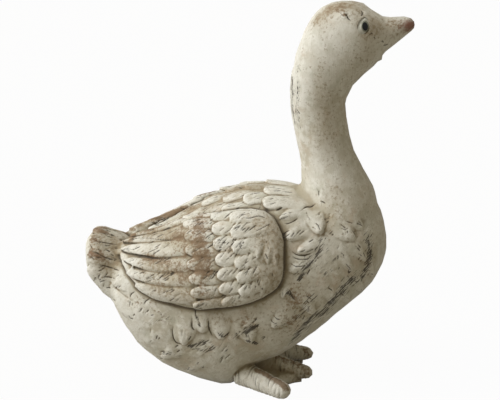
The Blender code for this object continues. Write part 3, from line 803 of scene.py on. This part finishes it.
# A cut is its width in pixels, its depth, and the pixels that it runs through.
CUTS = (
    (1.1, 0.0008, (121.5, 243.5), (138.7, 237.7), (160, 239.5), (183.5, 241)),
    (1.1, 0.0008, (122.6, 244.6), (130.7, 252.7), (145, 256), (156, 258.4), (188, 261.8)),
    (0.9, 0.0005, (143, 254), (151, 251), (160.5, 247)),
    (0.9, 0.0005, (150, 257), (155, 253), (162, 248)),
    (0.9, 0.0005, (252, 233), (262, 228), (273, 222)),
    (1.0, 0.0006, (241, 217), (249, 218), (259, 216), (268, 219)),
    (1.2, 0.0010, (276, 210.6), (280, 208.5), (283, 207)),
    (1.3, 0.0012, (299, 212), (306, 207), (311, 206.5), (316, 203)),
    (1.0, 0.0007, (319, 197), (318.5, 193), (319, 190)),
    (1.0, 0.0007, (320, 201), (323, 202), (326, 204)),
    (0.9, 0.0006, (283, 235), (286, 232), (290, 230)),
    (0.9, 0.0006, (283.5, 238), (287, 235.5), (291, 233)),
    (0.9, 0.0006, (278, 217), (283, 214), (288, 213)),
    (0.9, 0.0006, (279, 220), (284, 218), (290, 216)),
    (1.0, 0.0007, (283, 223), (288, 223.5), (294, 221), (298, 218)),
    (1.0, 0.0006, (291, 250), (296, 254.5), (304, 255.5), (314, 252)),
    (0.9, 0.0005, (290, 254), (296, 258.5), (305, 259.5), (314, 257)),
    (0.9, 0.0005, (289, 262), (295, 266), (304, 266), (312, 263)),
    (1.2, 0.0010, (174, 321.5), (172.4, 332.4), (175.5, 342), (182.7, 344.5)),
    (1.2, 0.0010, (192.4, 315.5), (191.8, 326.4), (194.8, 331)),
    (1.2, 0.0010, (209.4, 316.7), (208.8, 327.6), (213, 337.3)),
    (1.0, 0.0007, (185, 368), (190, 370.5), (197, 370)),
    (1.1, 0.0008, (130, 298.5), (131, 294.5), (135.5, 291)),
    (1.0, 0.0006, (142.7, 305.8), (146, 301), (150, 298.5)),
    (1.0, 0.0006, (128, 314), (130, 318), (134, 319)),
    (1.0, 0.0006, (285, 287), (290, 291), (292, 297), (298, 302)),
    (0.9, 0.0005, (270, 318), (273, 322.5), (278, 324)),
    (0.9, 0.0005, (273, 315), (277, 319), (282, 320)),
    (1.0, 0.0006, (357.4, 32), (357.9, 27), (360.0, 21.5), (363.2, 17)),
    (1.1, 0.0009, (358.9, 31.5), (359.6, 26), (361.6, 21), (364.6, 17.6), (367.6, 19.3), (369.2, 23.2)),
    (0.9, 0.0005, (369.2, 23.2), (369.0, 28.7), (366.5, 32.6), (362.0, 33.6), (358.9, 31.5)),
    (1.2, 0.0006, (361, 9.6), (362.6, 13.0), (361.0, 17.0)),
    (1.0, 0.0006, (382.8, 45.3), (385.6, 45.2), (388.5, 44.3)),
    (0.9, 0.0004, (381.8, 39.7), (383.0, 41.5), (383.3, 43.0)),
    (0.8, 0.0004, (370.8, 32.5), (371.8, 33.4), (372.8, 34.4)),
    (0.8, 0.0004, (373.2, 38.3), (374.4, 37.4), (375.6, 36.4)),
    (0.9, 0.0005, (345.5, 13), (348.0, 18), (351.5, 21.5)),
    (1.3, 0.0009, (89, 237), (98, 241), (108, 243), (121, 245)),
    (1.3, 0.0010, (88, 250), (97, 253), (107, 258), (121, 262)),
    (1.2, 0.0008, (93, 264), (104, 266), (112, 268), (122, 272)),
    (1.1, 0.0007, (100, 278), (108, 277), (117, 279)),
    (1.1, 0.0007, (97, 231), (107, 234), (122, 237)),
)
# Strokes over a patch: two of its corners, how many there are, their length, slope and depth
HATCHED = (
    ((90, 228), (122, 262), 34, 6.0, -22, 0.0006),
    ((92, 262), (120, 290), 22, 6.5, 48, 0.0006),
    ((289.8, 76), (293.6, 126), 46, 14.0, 88, 0.0002),
    ((296.2, 66), (299.5, 128), 20, 12.0, 89, 0.0002),
    ((300, 240), (322, 282), 20, 8.0, 56, 0.0004),
    ((336, 244), (372, 282), 26, 7.0, 62, 0.0003),
    ((288, 300), (340, 342), 30, 8.0, 48, 0.0003),
    ((186, 340), (214, 354), 14, 9.0, 24, 0.0006),
    ((218, 345), (232, 362), 8, 10.0, 56, 0.0007),
    ((242, 325), (258, 335), 16, 6.0, 46, 0.0006),
    ((136, 212), (212, 232), 34, 7.0, 30, 0.0006),
    ((318, 212), (334, 236), 16, 3.5, 60, 0.0006),
    ((342, 226), (360, 240), 14, 4.5, 66, 0.0006),
    ((148, 312), (172, 328), 8, 5.0, 24, 0.0004),
    ((228, 240), (242, 262), 18, 6.0, 44, 0.0007),
    ((217, 241), (231, 253), 14, 5.0, 36, 0.0007),
    ((262, 334), (268, 340), 3, 6.0, 42, 0.0006),
    ((160, 348), (182, 360), 12, 6.0, 12, 0.0005),
)
STROKE_WIDTH, STROKE_DEPTH, FAINT_DEPTH = 1.20, 0.0007, 0.4
CUT_STEPS, REACH_SHARE, FADE_IN, FADE_OUT = 14, 1.6, 3, 4
HATCH_SPREAD, HATCH_LENGTHS, HATCH_PLACES = 13, (0.45, 1.2), 12
HATCH_DARKNESS, HATCH_FAINTNESS = (0.1, 1.0), 1.3


def cut_lines():
    """The places of every cut, each with its half width, its depth and how dark its wash is."""
    for width, depth, *pixels in CUTS:
        path = [goose_skin.seen(pixel)[0] for pixel in through(pixels, CUT_STEPS)]
        yield from faded(path, width, depth, 1.0)
    for (left, top), (right, bottom), count, length, slope, depth in HATCHED:
        for _ in range(count):
            middle = np.array([chance.uniform(left, right), chance.uniform(top, bottom)])
            turn = math.radians(slope + chance.normal(0, HATCH_SPREAD))
            half = length / 2 * chance.uniform(*HATCH_LENGTHS) * np.array([math.cos(turn), -math.sin(turn)])
            path = [goose_skin.seen(middle + half * t)[0] for t in np.linspace(-1, 1, HATCH_PLACES)]
            darkness = chance.uniform(*HATCH_DARKNESS) ** HATCH_FAINTNESS
            yield from stroked(path, depth, darkness)
    for darkness, path in strokes:
        path = [goose_skin.tree.find_nearest(point)[0] for point in path]
        yield from stroked(path, STROKE_DEPTH, darkness)


def stroked(path, depth, darkness):
    """A stroke's places, shallower where it is faint."""
    return faded(path, STROKE_WIDTH, depth * (FAINT_DEPTH + (1 - FAINT_DEPTH) * darkness), darkness)


def faded(path, width, depth, darkness):
    """A cut's places, shallower towards its ends."""
    for i, point in enumerate(path):
        fade = min(1, FADE_IN * (i + 1) / len(path), FADE_OUT * (len(path) - i) / len(path))
        yield point, width * PIXEL / REACH_SHARE, depth * fade, darkness * fade


def nearest_marks(marks, reach):
    """For each vertex, the distance to the nearest mark within reach and its number, or -1."""
    near = np.full(len(folded), 1.0)
    number = np.full(len(folded), -1)
    for i, (x, y, z) in enumerate(marks):
        for _, place, distance in vertex_tree.find_range((x, -abs(y), z), reach):
            if distance < near[place]:
                near[place], number[place] = distance, i
    return near, number


def relaxed(values, ends, rounds):
    """Values at the vertices, each time moved to the mean of their neighbours'."""
    count = len(values)
    degree = np.maximum(np.bincount(ends.ravel(), minlength=count), 1)
    first, second = ends.T
    for _ in range(rounds):
        moved = [np.bincount(first, weights=column[second], minlength=count)
                 + np.bincount(second, weights=column[first], minlength=count) for column in values.T]
        values = np.stack(moved, axis=1) / degree[:, None]
    return values


def gathered(form, kind, name, width):
    """A value of every vertex or edge of the form, as rows of numbers."""
    source = getattr(form.data, kind)
    values = np.zeros(len(source) * width)
    source.foreach_get(name, values)
    return values.reshape(-1, width)


places = gathered(goose, "vertices", "co", 3)
normals = gathered(goose, "vertices", "normal", 3)
ends = gathered(goose, "edges", "vertices", 2).astype(int)
# Both sides are marked alike, so every vertex is also kept as if it were on the right.
folded = places * (1, -1, 1)
folded[:, 1] = -abs(places[:, 1])
vertex_tree = KDTree(len(folded))
for i, place in enumerate(folded):
    vertex_tree.insert(place, i)
vertex_tree.balance()

# The rims that the fusing has left in sight, and the crease round the wing
RIM_SEEN = 0.0015
RIM_WIDTH, RIM_DEPTH, RIM_REACH = 0.0012, 0.0010, 0.005
SEAM_WIDTH, SEAM_DEPTH, SEAM_REACH = 0.0021, 0.0020, 0.004
CUT_REACH = 0.002
shown = [(point, line) for point, line in rims if goose_skin.tree.find_nearest(point)[3] < RIM_SEEN]
near_rim, rim_number = nearest_marks([point for point, _ in shown], RIM_REACH)
near_seam, _ = nearest_marks([goose_skin.tree.find_nearest(point)[0] for point, _ in seam], SEAM_REACH)
cuts = list(cut_lines())
near_cut, cut_number = nearest_marks([cut[0] for cut in cuts], CUT_REACH)
cut_width, cut_depth, cut_dark = np.array([cut[1:] for cut in cuts])[cut_number].T
in_rim = np.exp(-(near_rim / RIM_WIDTH) ** 2) * np.array([line for _, line in shown])[rim_number]
in_seam = np.exp(-(near_seam / SEAM_WIDTH) ** 2)
in_cut = np.exp(-(near_cut / cut_width) ** 2) * (cut_number >= 0)
places -= normals * (in_rim * RIM_DEPTH + in_seam * SEAM_DEPTH + in_cut * cut_depth)[:, None]
# Hand modelling leaves the clay slightly uneven.
UNEVEN_SIZE, UNEVEN_DEPTH = 0.011, 0.0006
for i, place in enumerate(folded):
    places[i] += normals[i] * UNEVEN_DEPTH * noise.noise(Vector(place) / UNEVEN_SIZE)
places[:, 2] = np.maximum(places[:, 2], 0)
goose.data.vertices.foreach_set("co", places.ravel())
goose.data.update()
normals = gathered(goose, "vertices", "normal", 3)
FINE_ROUNDS, WIDE_ROUNDS = 8, 90
fine_hollow, wide_hollow = [((relaxed(places, ends, rounds) - places) * normals).sum(axis=1)
                            for rounds in (FINE_ROUNDS, WIDE_ROUNDS)]

# Paint, by hand: a cream wash over the fired clay, left in patches, dark in the cuts, and brown rubbed on
# the feathers' tips, the crown, the beak and the toes. The scratches were brushed on last. Shade is painted
# too: dark in the feathers' rims, the crease round the wing and the hollows, and olive on the shaded sides.
# A patch is its strength and radius in pixels, and the pixels that it runs through.
BROWN_PATCHES = (
    (0.72, 14, (199, 216), (200, 236), (201, 254), (203, 268)),
    (0.5, 10, (200, 284), (204, 294)),
    (0.5, 14, (176, 226), (180, 250), (186, 276)),
    (1.0, 6, (196, 206), (172, 212), (152, 219)),
    (0.7, 5, (140, 224), (122, 234)),
    (0.55, 8, (150, 258), (168, 264), (186, 270)),
    (0.35, 9, (140, 272), (170, 284)),
    (0.9, 6, (92, 228), (104, 231)),
    (0.9, 6, (90, 253), (102, 257)),
    (0.5, 7, (318, 24), (326, 12), (340, 6), (354, 3)),
    (0.6, 6, (386, 24), (396, 26), (406, 24)),
    (0.5, 5, (398, 34), (406, 29)),
    (1.2, 4.6, (257, 370), (266, 374), (274, 379), (282, 384), (287, 388)),
    (0.6, 6, (278, 357), (296, 363), (309, 374)),
    (0.5, 6, (303, 348), (308, 356)),
    (0.45, 14, (300, 290), (290, 322)),
    (0.4, 12, (140, 300), (165, 318)),
    (0.35, 9, (240, 320), (262, 332)),
    (0.7, 3, (338, 10), (345, 15)),
    (0.3, 8, (356, 232), (352, 250)),
)
# Where the clay itself shows through, on the beak, the tail, the nape and the wing
RED_PATCHES = (
    (1.0, 6.5, (409, 25), (413, 26)),
    (0.45, 4, (92, 228), (100, 230)),
    (0.45, 4, (90, 253), (98, 256)),
    (0.42, 7, (318, 20), (326, 11), (338, 6)),
    (0.25, 6, (184, 250), (196, 262)),
)
# Where the wash is thin and olive brown; partly this olive is painted shade, on the neck's front, round the
# eye, under the belly and on the tail
TAN_AND_SHADE_PATCHES = (
    (0.55, 13, (100, 232), (98, 250), (106, 268)),
    (0.7, 9, (114, 238), (116, 262)),
    (0.65, 12, (150, 232), (178, 236), (196, 250), (200, 274)),
    (0.6, 14, (150, 262), (180, 276)),
    (0.5, 12, (150, 284), (190, 298), (225, 302)),
    (0.8, 7, (196, 208), (165, 214), (128, 230)),
    (0.7, 9, (210, 196), (240, 188), (262, 186)),
    (0.55, 11, (270, 222), (279, 256), (270, 290)),
    (0.7, 7, (372, 20), (376, 30), (362, 36)),
    (0.5, 6, (359, 10), (357, 22)),
    (0.7, 8, (388, 28), (400, 28)),
    (0.85, 9, (318, 20), (332, 8), (352, 4)),
    (0.4, 9, (372, 52), (358, 66)),
    (0.35, 16, (300, 290), (284, 330)),
    (0.4, 10, (206, 318), (240, 320), (266, 300)),
    (0.3, 9, (268, 368), (284, 368), (296, 358)),
    (0.3, 9, (282, 378), (300, 380), (308, 356)),
    (0.4, 9, (338, 190), (330, 230)),
    (0.45, 10, (320, 70), (322, 110), (328, 150)),
    (0.45, 10, (260, 226), (265, 256), (260, 286)),
)
# Where dark scratches were brushed over the wash
SCRATCHED_PATCHES = (
    (1.1, 4.0, (325, 242), (316, 255), (307, 268), (299, 279)),
    (0.82, 8, (324, 240), (312, 258), (300, 276)),
    (0.84, 11, (368, 236), (370, 262), (352, 284)),
    (0.84, 11, (350, 284), (328, 308), (300, 334)),
    (0.78, 10, (330, 262), (318, 290), (296, 318)),
    (0.8, 2.5, (318, 265), (313.5, 271)),
    (1.15, 6.5, (367, 240), (370, 256), (362, 277)),
    (1.15, 6.5, (350, 280), (338, 294), (325, 311)),
    (1.05, 7.5, (325, 311), (308, 322), (291, 342)),
    (1.3, 3.5, (245, 333), (250, 330), (256, 326)),
    (1.7, 1.7, (246.5, 340.5), (252, 342.5), (258.5, 340.5)),
    (0.9, 3.5, (238, 332), (235, 344)),
    (1.3, 3, (219, 333), (223.5, 335.5), (229, 334)),
    (1.2, 3.5, (188, 346), (196, 345), (204, 342)),
    (0.9, 4.5, (201, 350), (213, 347)),
    (0.8, 4.5, (222, 358), (229, 347)),
    (0.75, 6, (153, 320), (170, 318)),
    (0.8, 4, (162, 352), (176, 356)),
    (1.2, 3.5, (288, 293), (295, 296)),
    (1.15, 2.6, (292, 78), (292, 92), (292.6, 108), (295, 124)),
    (1.0, 2.0, (297.6, 66), (297.2, 98), (298.7, 126)),
    (0.75, 5.0, (294.5, 90), (296.5, 122)),
    (0.6, 3.5, (323, 162), (324, 190)),
    (0.8, 2.2, (351.5, 64), (348, 77)),
    (0.8, 3.0, (326, 218), (331, 232)),
    (0.7, 3.0, (344, 238), (358, 234)),
    (0.85, 5, (208, 238), (232, 244)),
    (0.7, 6, (204, 300), (232, 296)),
    (0.8, 3, (256, 210), (262, 204)),
)
PATCH_STEPS, HOLLOW_DEPTH, NOOK_DEPTH = 6, 0.0012, 0.0005
# How dark the rims and the crease round the wing are painted: painted shade where a feather overlaps the
# next and where the wing meets the body.
RIM_DARKNESS, SEAM_DARKNESS = 0.80, 0.62
EDGE_WIDTH, EDGE_SHADE_BROWN = 0.0035, 0.6


def patched(patches):
    """How strongly each vertex lies in any of the patches."""
    strength = np.zeros(len(folded))
    for amount, radius, *pixels in patches:
        middle = [goose_skin.seen(pixel)[0] for pixel in through(pixels, PATCH_STEPS)]
        near, _ = nearest_marks(middle, radius * PIXEL * 2)
        strength = np.maximum(strength, amount * np.exp(-(near / (radius * PIXEL)) ** 2))
    return strength


def keep(name, values):
    """The values kept on the goose's vertices under a name, for its material."""
    layer = goose.data.attributes.new(name, "FLOAT", "POINT")
    layer.data.foreach_set("value", np.asarray(values, np.float32))


# The dark in the lines: painted shade in the feathers' rims and the crease round the wing, and dark paint in
# the cuts and strokes.
keep("groove", np.clip(RIM_DARKNESS * in_rim + SEAM_DARKNESS * in_seam + in_cut * cut_dark, 0, 1))
keep("hollow", np.clip(wide_hollow / HOLLOW_DEPTH, -1, 1))
keep("nook", np.clip(fine_hollow / NOOK_DEPTH, -1, 1))
brown = patched(BROWN_PATCHES)
tan_and_shade = patched(TAN_AND_SHADE_PATCHES)
# Painted shade: brown laid beside the feathers' rims, in the recesses under the next feathers, as strong as
# the olive there.
feather_edge = np.exp(-(near_rim / EDGE_WIDTH) ** 2)
keep("brown", np.clip(brown + EDGE_SHADE_BROWN * feather_edge * tan_and_shade, 0, 1))
keep("tan_and_shade", tan_and_shade)
keep("red", patched(RED_PATCHES))
keep("scratched", patched(SCRATCHED_PATCHES))
# Faces are kept small where there is a line, and made fewer elsewhere.
plain_area = goose.vertex_groups.new(name="plain_area")
lined = np.maximum(np.maximum(in_rim, in_seam), in_cut)
for level in range(CARE_LEVELS + 1):
    chosen = np.flatnonzero(np.round((1 - lined) * CARE_LEVELS) == level)
    plain_area.add(chosen.tolist(), level / CARE_LEVELS, "REPLACE")
finished(goose, ("DECIMATE", {"ratio": FACES / (2 * len(goose.data.polygons)),
                              "vertex_group": "plain_area", "vertex_group_factor": LINE_CARE}))
goose.data.shade_smooth()


class Field:
    """A number, colour or direction that varies over the surface, with plain arithmetic."""

    def __init__(self, nodes, socket):
        """What comes out of a socket of the nodes."""
        self.nodes = nodes
        self.socket = socket

    def maths(self, operation, first, second):
        """The result of an operation on two fields or constants."""
        made = self.nodes.node("ShaderNodeMath", {"operation": operation}, {0: first, 1: second})
        return Field(self.nodes, made.outputs[0])

    def __add__(self, other):
        return self.maths("ADD", self, other)

    def __sub__(self, other):
        return self.maths("SUBTRACT", self, other)

    def __rsub__(self, other):
        return self.maths("SUBTRACT", other, self)

    def __mul__(self, other):
        return self.maths("MULTIPLY", self, other)

    def __truediv__(self, other):
        return self.maths("DIVIDE", self, other)

    __radd__ = __add__
    __rmul__ = __mul__


class Nodes:
    """The nodes of a material or of the sky."""

    def __init__(self, tree):
        """The nodes that are added to a tree."""
        self.tree = tree

    def fill(self, socket, value):
        """Gives the socket a field or a constant."""
        if isinstance(value, Field):
            self.tree.links.new(value.socket, socket)
        else:
            socket.default_value = value

    def node(self, kind, settings, inputs):
        """A new node with its settings and inputs."""
        made = self.tree.nodes.new(kind)
        for name, value in settings.items():
            setattr(made, name, value)
        for name, value in inputs.items():
            self.fill(made.inputs[name], value)
        return made

    def looked_at(self):
        """1 where the camera sees the surface itself, in a reflection or through glass."""
        light_path = self.node("ShaderNodeLightPath", {}, {}).outputs
        return (Field(self, light_path["Is Camera Ray"]) + Field(self, light_path["Is Glossy Ray"])
                + Field(self, light_path["Is Transmission Ray"]))

    def either(self, below, above, share):
        """Two shader nodes mixed by a share."""
        made = self.node("ShaderNodeMixShader", {}, {0: share, 1: Field(self, below.outputs[0]),
                                                     2: Field(self, above.outputs[0])})
        return Field(self, made.outputs[0])


class Finish(Nodes):
    """A material's nodes, and the fields that its look is made of."""

    def __init__(self, name):
        """A new material of that name."""
        self.material = bpy.data.materials.new(name)
        self.material.use_nodes = True
        super().__init__(self.material.node_tree)
        self.shader = self.tree.nodes["Principled BSDF"]
        self.place = Field(self, self.node("ShaderNodeTexCoord", {}, {}).outputs["Object"])

    def kept(self, name):
        """A value that was kept on the vertices."""
        return Field(self, self.node("ShaderNodeAttribute", {"attribute_name": name}, {}).outputs["Fac"])

    def patches(self, size, detail=3, roughness=0.55, place=None):
        """Soft random patches of about that size, from 0 to 1."""
        made = self.node("ShaderNodeTexNoise", {}, {"Vector": place or self.place, "Scale": 1 / size,
                                                    "Detail": detail, "Roughness": roughness})
        return Field(self, made.outputs["Fac"])

    def between(self, value, low, high):
        """0 where the value is at low and 1 where it is at high."""
        made = self.node("ShaderNodeMapRange", {"interpolation_type": "SMOOTHSTEP"},
                         {"Value": value, "From Min": low, "From Max": high})
        return Field(self, made.outputs["Result"])

    def over(self, below, above, share):
        """A colour laid over another by a share."""
        made = self.tree.nodes.new("ShaderNodeMix")
        made.data_type = "RGBA"
        for socket, value in zip((made.inputs[0], made.inputs[6], made.inputs[7]), (share, below, above)):
            self.fill(socket, (*value, 1) if isinstance(value, tuple) else value)
        return Field(self, made.outputs[2])

    def oval(self, pixel, tilt, half_width, half_height, grown=1):
        """1 inside an oval painted at a pixel of the right side, and at the same place on the left."""
        centre = goose_skin.seen(pixel)[0]
        x, _, z = self.node("ShaderNodeSeparateXYZ", {}, {0: self.place}).outputs
        aside, up = Field(self, x) - centre.x, Field(self, z) - centre.z
        turn = math.radians(tilt)
        across = (aside * math.cos(turn) + up * math.sin(turn)) / (half_width * grown * PIXEL)
        along = (up * math.cos(turn) - aside * math.sin(turn)) / (half_height * grown * PIXEL)
        return 1 - self.between(across * across + along * along, 0.82, 1.18)

    def stretched(self, turn, sizes):
        """Places turned about Y by an angle in degrees, and divided by sizes along the three axes."""
        turned = self.node("ShaderNodeVectorRotate", {"rotation_type": "Y_AXIS"},
                           {"Vector": self.place, "Angle": math.radians(turn)})
        divided = self.node("ShaderNodeVectorMath", {"operation": "DIVIDE"},
                            {0: Field(self, turned.outputs[0]), 1: sizes})
        return Field(self, divided.outputs[0])


# The colours of the wash, of what shows through it, of the dirt on it and of the shade painted in its
# hollows, creases and shaded sides
CREAM, DULL_CREAM, CHALK = (0.635, 0.620, 0.550), (0.50, 0.468, 0.375), (0.76, 0.755, 0.70)
BLUSH, GREENISH, OLIVE_WASH_AND_SHADE = (0.57, 0.475, 0.375), (0.44, 0.445, 0.36), (0.335, 0.275, 0.180)
HOLLOW_SHADE_AND_DIRT, NOOK_SHADE_AND_DIRT, WORN_THROUGH = (0.31, 0.27, 0.185), (0.25, 0.205, 0.140), (0.31, 0.25, 0.165)
BROWN, RED, SPECKLE = (0.225, 0.155, 0.095), (0.22, 0.085, 0.055), (0.21, 0.145, 0.09)
BRUSHED, SCRATCH_AND_CREASE_SHADE = (0.40, 0.365, 0.28), (0.050, 0.043, 0.034)
EYE_WHITE, IRIS, PUPIL = (0.52, 0.52, 0.46), (0.13, 0.14, 0.10), (0.006, 0.007, 0.007)
# The sizes of the patches in it, and the slope and the sizes of the brush's strokes
CLOUD, BLOTCH, MOTTLE, WEAR, DUST = 0.045, 0.019, 0.008, 0.0032, 0.0014
BODY_BRUSH, NECK_BRUSH = (46, (0.012, 0.004, 0.0012)), (87, (0.016, 0.004, 0.0010))
NECK_FROM, NECK_TO = 0.205, 0.225
SHEEN, RELIEF, RELIEF_DEPTH = 0.15, 0.5, 0.0010


def whitewashed():
    """Worn cream whitewash over terracotta, with painted shade in its hollows, creases and shaded sides."""
    paint = Finish("whitewashed_terracotta")
    groove, hollow, nook = paint.kept("groove"), paint.kept("hollow"), paint.kept("nook")
    brown, red, scratched, tan_and_shade = [paint.kept(name) for name in ("brown", "red", "scratched", "tan_and_shade")]
    clouds = paint.patches(CLOUD, 4, 0.6)
    blotches = paint.patches(BLOTCH, 4, 0.6)
    mottle = paint.patches(MOTTLE, 5, 0.68)
    flakes = paint.patches(WEAR, 4, 0.7)
    grain = paint.patches(DUST, 4, 0.7)
    _, _, height = paint.node("ShaderNodeSeparateXYZ", {}, {0: paint.place}).outputs
    on_neck = paint.between(Field(paint, height), NECK_FROM, NECK_TO)
    brushed = paint.patches(1.0, 3, 0.6, paint.stretched(*BODY_BRUSH))
    upright = paint.patches(1.0, 3, 0.6, paint.stretched(*NECK_BRUSH))
    streaks = brushed + on_neck * (upright - brushed)
    colour = paint.over(CREAM, DULL_CREAM, paint.between(clouds, 0.38, 0.68))
    colour = paint.over(colour, BLUSH, paint.between(blotches, 0.52, 0.72) * 0.55)
    colour = paint.over(colour, GREENISH, paint.between(blotches + 0.3 * clouds, 0.62, 0.44) * 0.45)
    colour = paint.over(colour, CHALK, paint.between(mottle - 0.22 * hollow, 0.46, 0.68) * 0.72)
    # Painted shade: the wide hollows and the small nooks are darkened, partly a dirty wash that gathers
    # there and partly the shade that falls in them.
    colour = paint.over(colour, HOLLOW_SHADE_AND_DIRT, paint.between(hollow + 0.7 * mottle, 0.40, 1.10) * 0.75)
    colour = paint.over(colour, NOOK_SHADE_AND_DIRT, paint.between(nook + mottle * 0.5, 0.30, 1.0) * 0.75)
    # Olive: a thin wash, and painted shade on the neck's front, round the eye, under the belly and on the
    # tail.
    colour = paint.over(colour, OLIVE_WASH_AND_SHADE, paint.between(tan_and_shade * 0.80 + 0.5 * mottle, 0.22, 1.15))
    worn = paint.between(flakes + 0.30 * mottle + 0.22 * tan_and_shade + 0.08 * brown, 0.71, 0.88)
    colour = paint.over(colour, WORN_THROUGH, worn * 0.72)
    # Brown rubbed on the tips, and beside the feathers' rims painted shade in the recesses.
    rubbed = paint.between(brown * 0.80 + 0.8 * mottle + 1.1 * flakes, 1.25, 1.60)
    colour = paint.over(colour, BROWN, rubbed * 0.85)
    colour = paint.over(colour, RED, paint.between(red + 0.7 * flakes, 0.60, 1.15) * 0.9)
    speck = paint.between(grain + 0.3 * mottle + 0.22 * brown, 0.84, 0.95)
    colour = paint.over(colour, SPECKLE, speck * 0.6)
    colour = paint.over(colour, BRUSHED, paint.between(streaks + 0.2 * mottle, 0.66, 0.80) * 0.35)
    bristles = paint.between(scratched * 0.45 + streaks * 1.1 + 0.25 * grain, 1.00, 1.16)
    scratches = bristles * paint.between(scratched, 0.10, 0.45)
    # Painted shade in the rims and the crease, and dark paint in the cuts, strokes and scratches.
    cut = paint.between(groove + 0.35 * mottle, 0.38, 1.0)
    colour = paint.over(colour, SCRATCH_AND_CREASE_SHADE, cut.maths("MAXIMUM", scratches, cut) * 0.88)
    white_of_eye = paint.oval(EYE_WHITE_PIXEL, *EYE_WHITE_OVAL)
    iris = paint.oval(PUPIL_PIXEL, *PUPIL_OVAL, IRIS_SHARE)
    pupil = paint.oval(PUPIL_PIXEL, *PUPIL_OVAL)
    colour = paint.over(colour, EYE_WHITE, white_of_eye * 0.8)
    colour = paint.over(colour, IRIS, iris * 0.75)
    colour = paint.over(colour, PUPIL, pupil)
    paint.fill(paint.shader.inputs["Base Color"], colour)
    paint.fill(paint.shader.inputs["Roughness"], 0.62 + 0.30 * mottle - 0.45 * pupil)
    paint.shader.inputs["Specular IOR Level"].default_value = SHEEN
    relief = 0.7 * mottle + 0.4 * flakes + 0.5 * grain + 0.35 * streaks
    bump = paint.node("ShaderNodeBump", {}, {"Strength": RELIEF, "Distance": RELIEF_DEPTH, "Height": relief})
    paint.fill(paint.shader.inputs["Normal"], Field(paint, bump.outputs[0]))
    return paint.material


goose.data.materials.append(whitewashed())
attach(goose, "root")
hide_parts("goose_figurine")

# Floor and light: a white ground under a dim warm sky. The light comes from behind the tail, from a high
# window and a low one beside it.
FLOOR_SIZE, FLOOR_COLOUR, FLOOR_GLOW = 12, (0.35, 0.33, 0.28, 1), 0.97
WHITE = (1, 1, 1, 1)
SKY_COLOUR, SKY_STRENGTH = (1.0, 0.87, 0.62, 1), 0.27


def white_ground():
    """Plain ground that is seen as white, and still takes the goose's shadow."""
    ground = Finish("white_ground")
    ground.shader.inputs["Base Color"].default_value = FLOOR_COLOUR
    ground.shader.inputs["Roughness"].default_value = 1
    ground.shader.inputs["Specular IOR Level"].default_value = 0
    glow = ground.node("ShaderNodeEmission", {}, {"Color": WHITE})
    ground.fill(ground.tree.nodes["Material Output"].inputs[0],
                ground.either(ground.shader, glow, ground.looked_at() * FLOOR_GLOW))
    return ground.material


bpy.ops.object.select_all(action="DESELECT")
bpy.ops.mesh.primitive_plane_add(size=FLOOR_SIZE)
floor = bpy.context.object
floor.name = "floor"
floor.data.materials.append(white_ground())
floor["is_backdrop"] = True

bpy.context.scene.world = bpy.data.worlds.new("studio")
bpy.context.scene.world.use_nodes = True
sky = Nodes(bpy.context.scene.world.node_tree)
lit_sky = sky.tree.nodes["Background"]
lit_sky.inputs["Color"].default_value = SKY_COLOUR
lit_sky.inputs["Strength"].default_value = SKY_STRENGTH
seen_sky = sky.node("ShaderNodeBackground", {}, {"Color": WHITE})
sky.fill(sky.tree.nodes["World Output"].inputs[0], sky.either(lit_sky, seen_sky, sky.looked_at()))
# A lamp is the way towards it, its strength and its width in degrees.
LAMPS = (((-0.61, -0.19, 0.77), 2.2, 40), ((-0.95, -0.20, 0.10), 2.1, 60))
for towards, strength, spread in LAMPS:
    bpy.ops.object.light_add(type="SUN", rotation=Vector(towards).to_track_quat("Z", "Y").to_euler())
    lamp = bpy.context.object
    lamp.data.energy = strength
    lamp.data.angle = math.radians(spread)

[[list(corner) for corner in box] for box in (cad_box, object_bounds())]
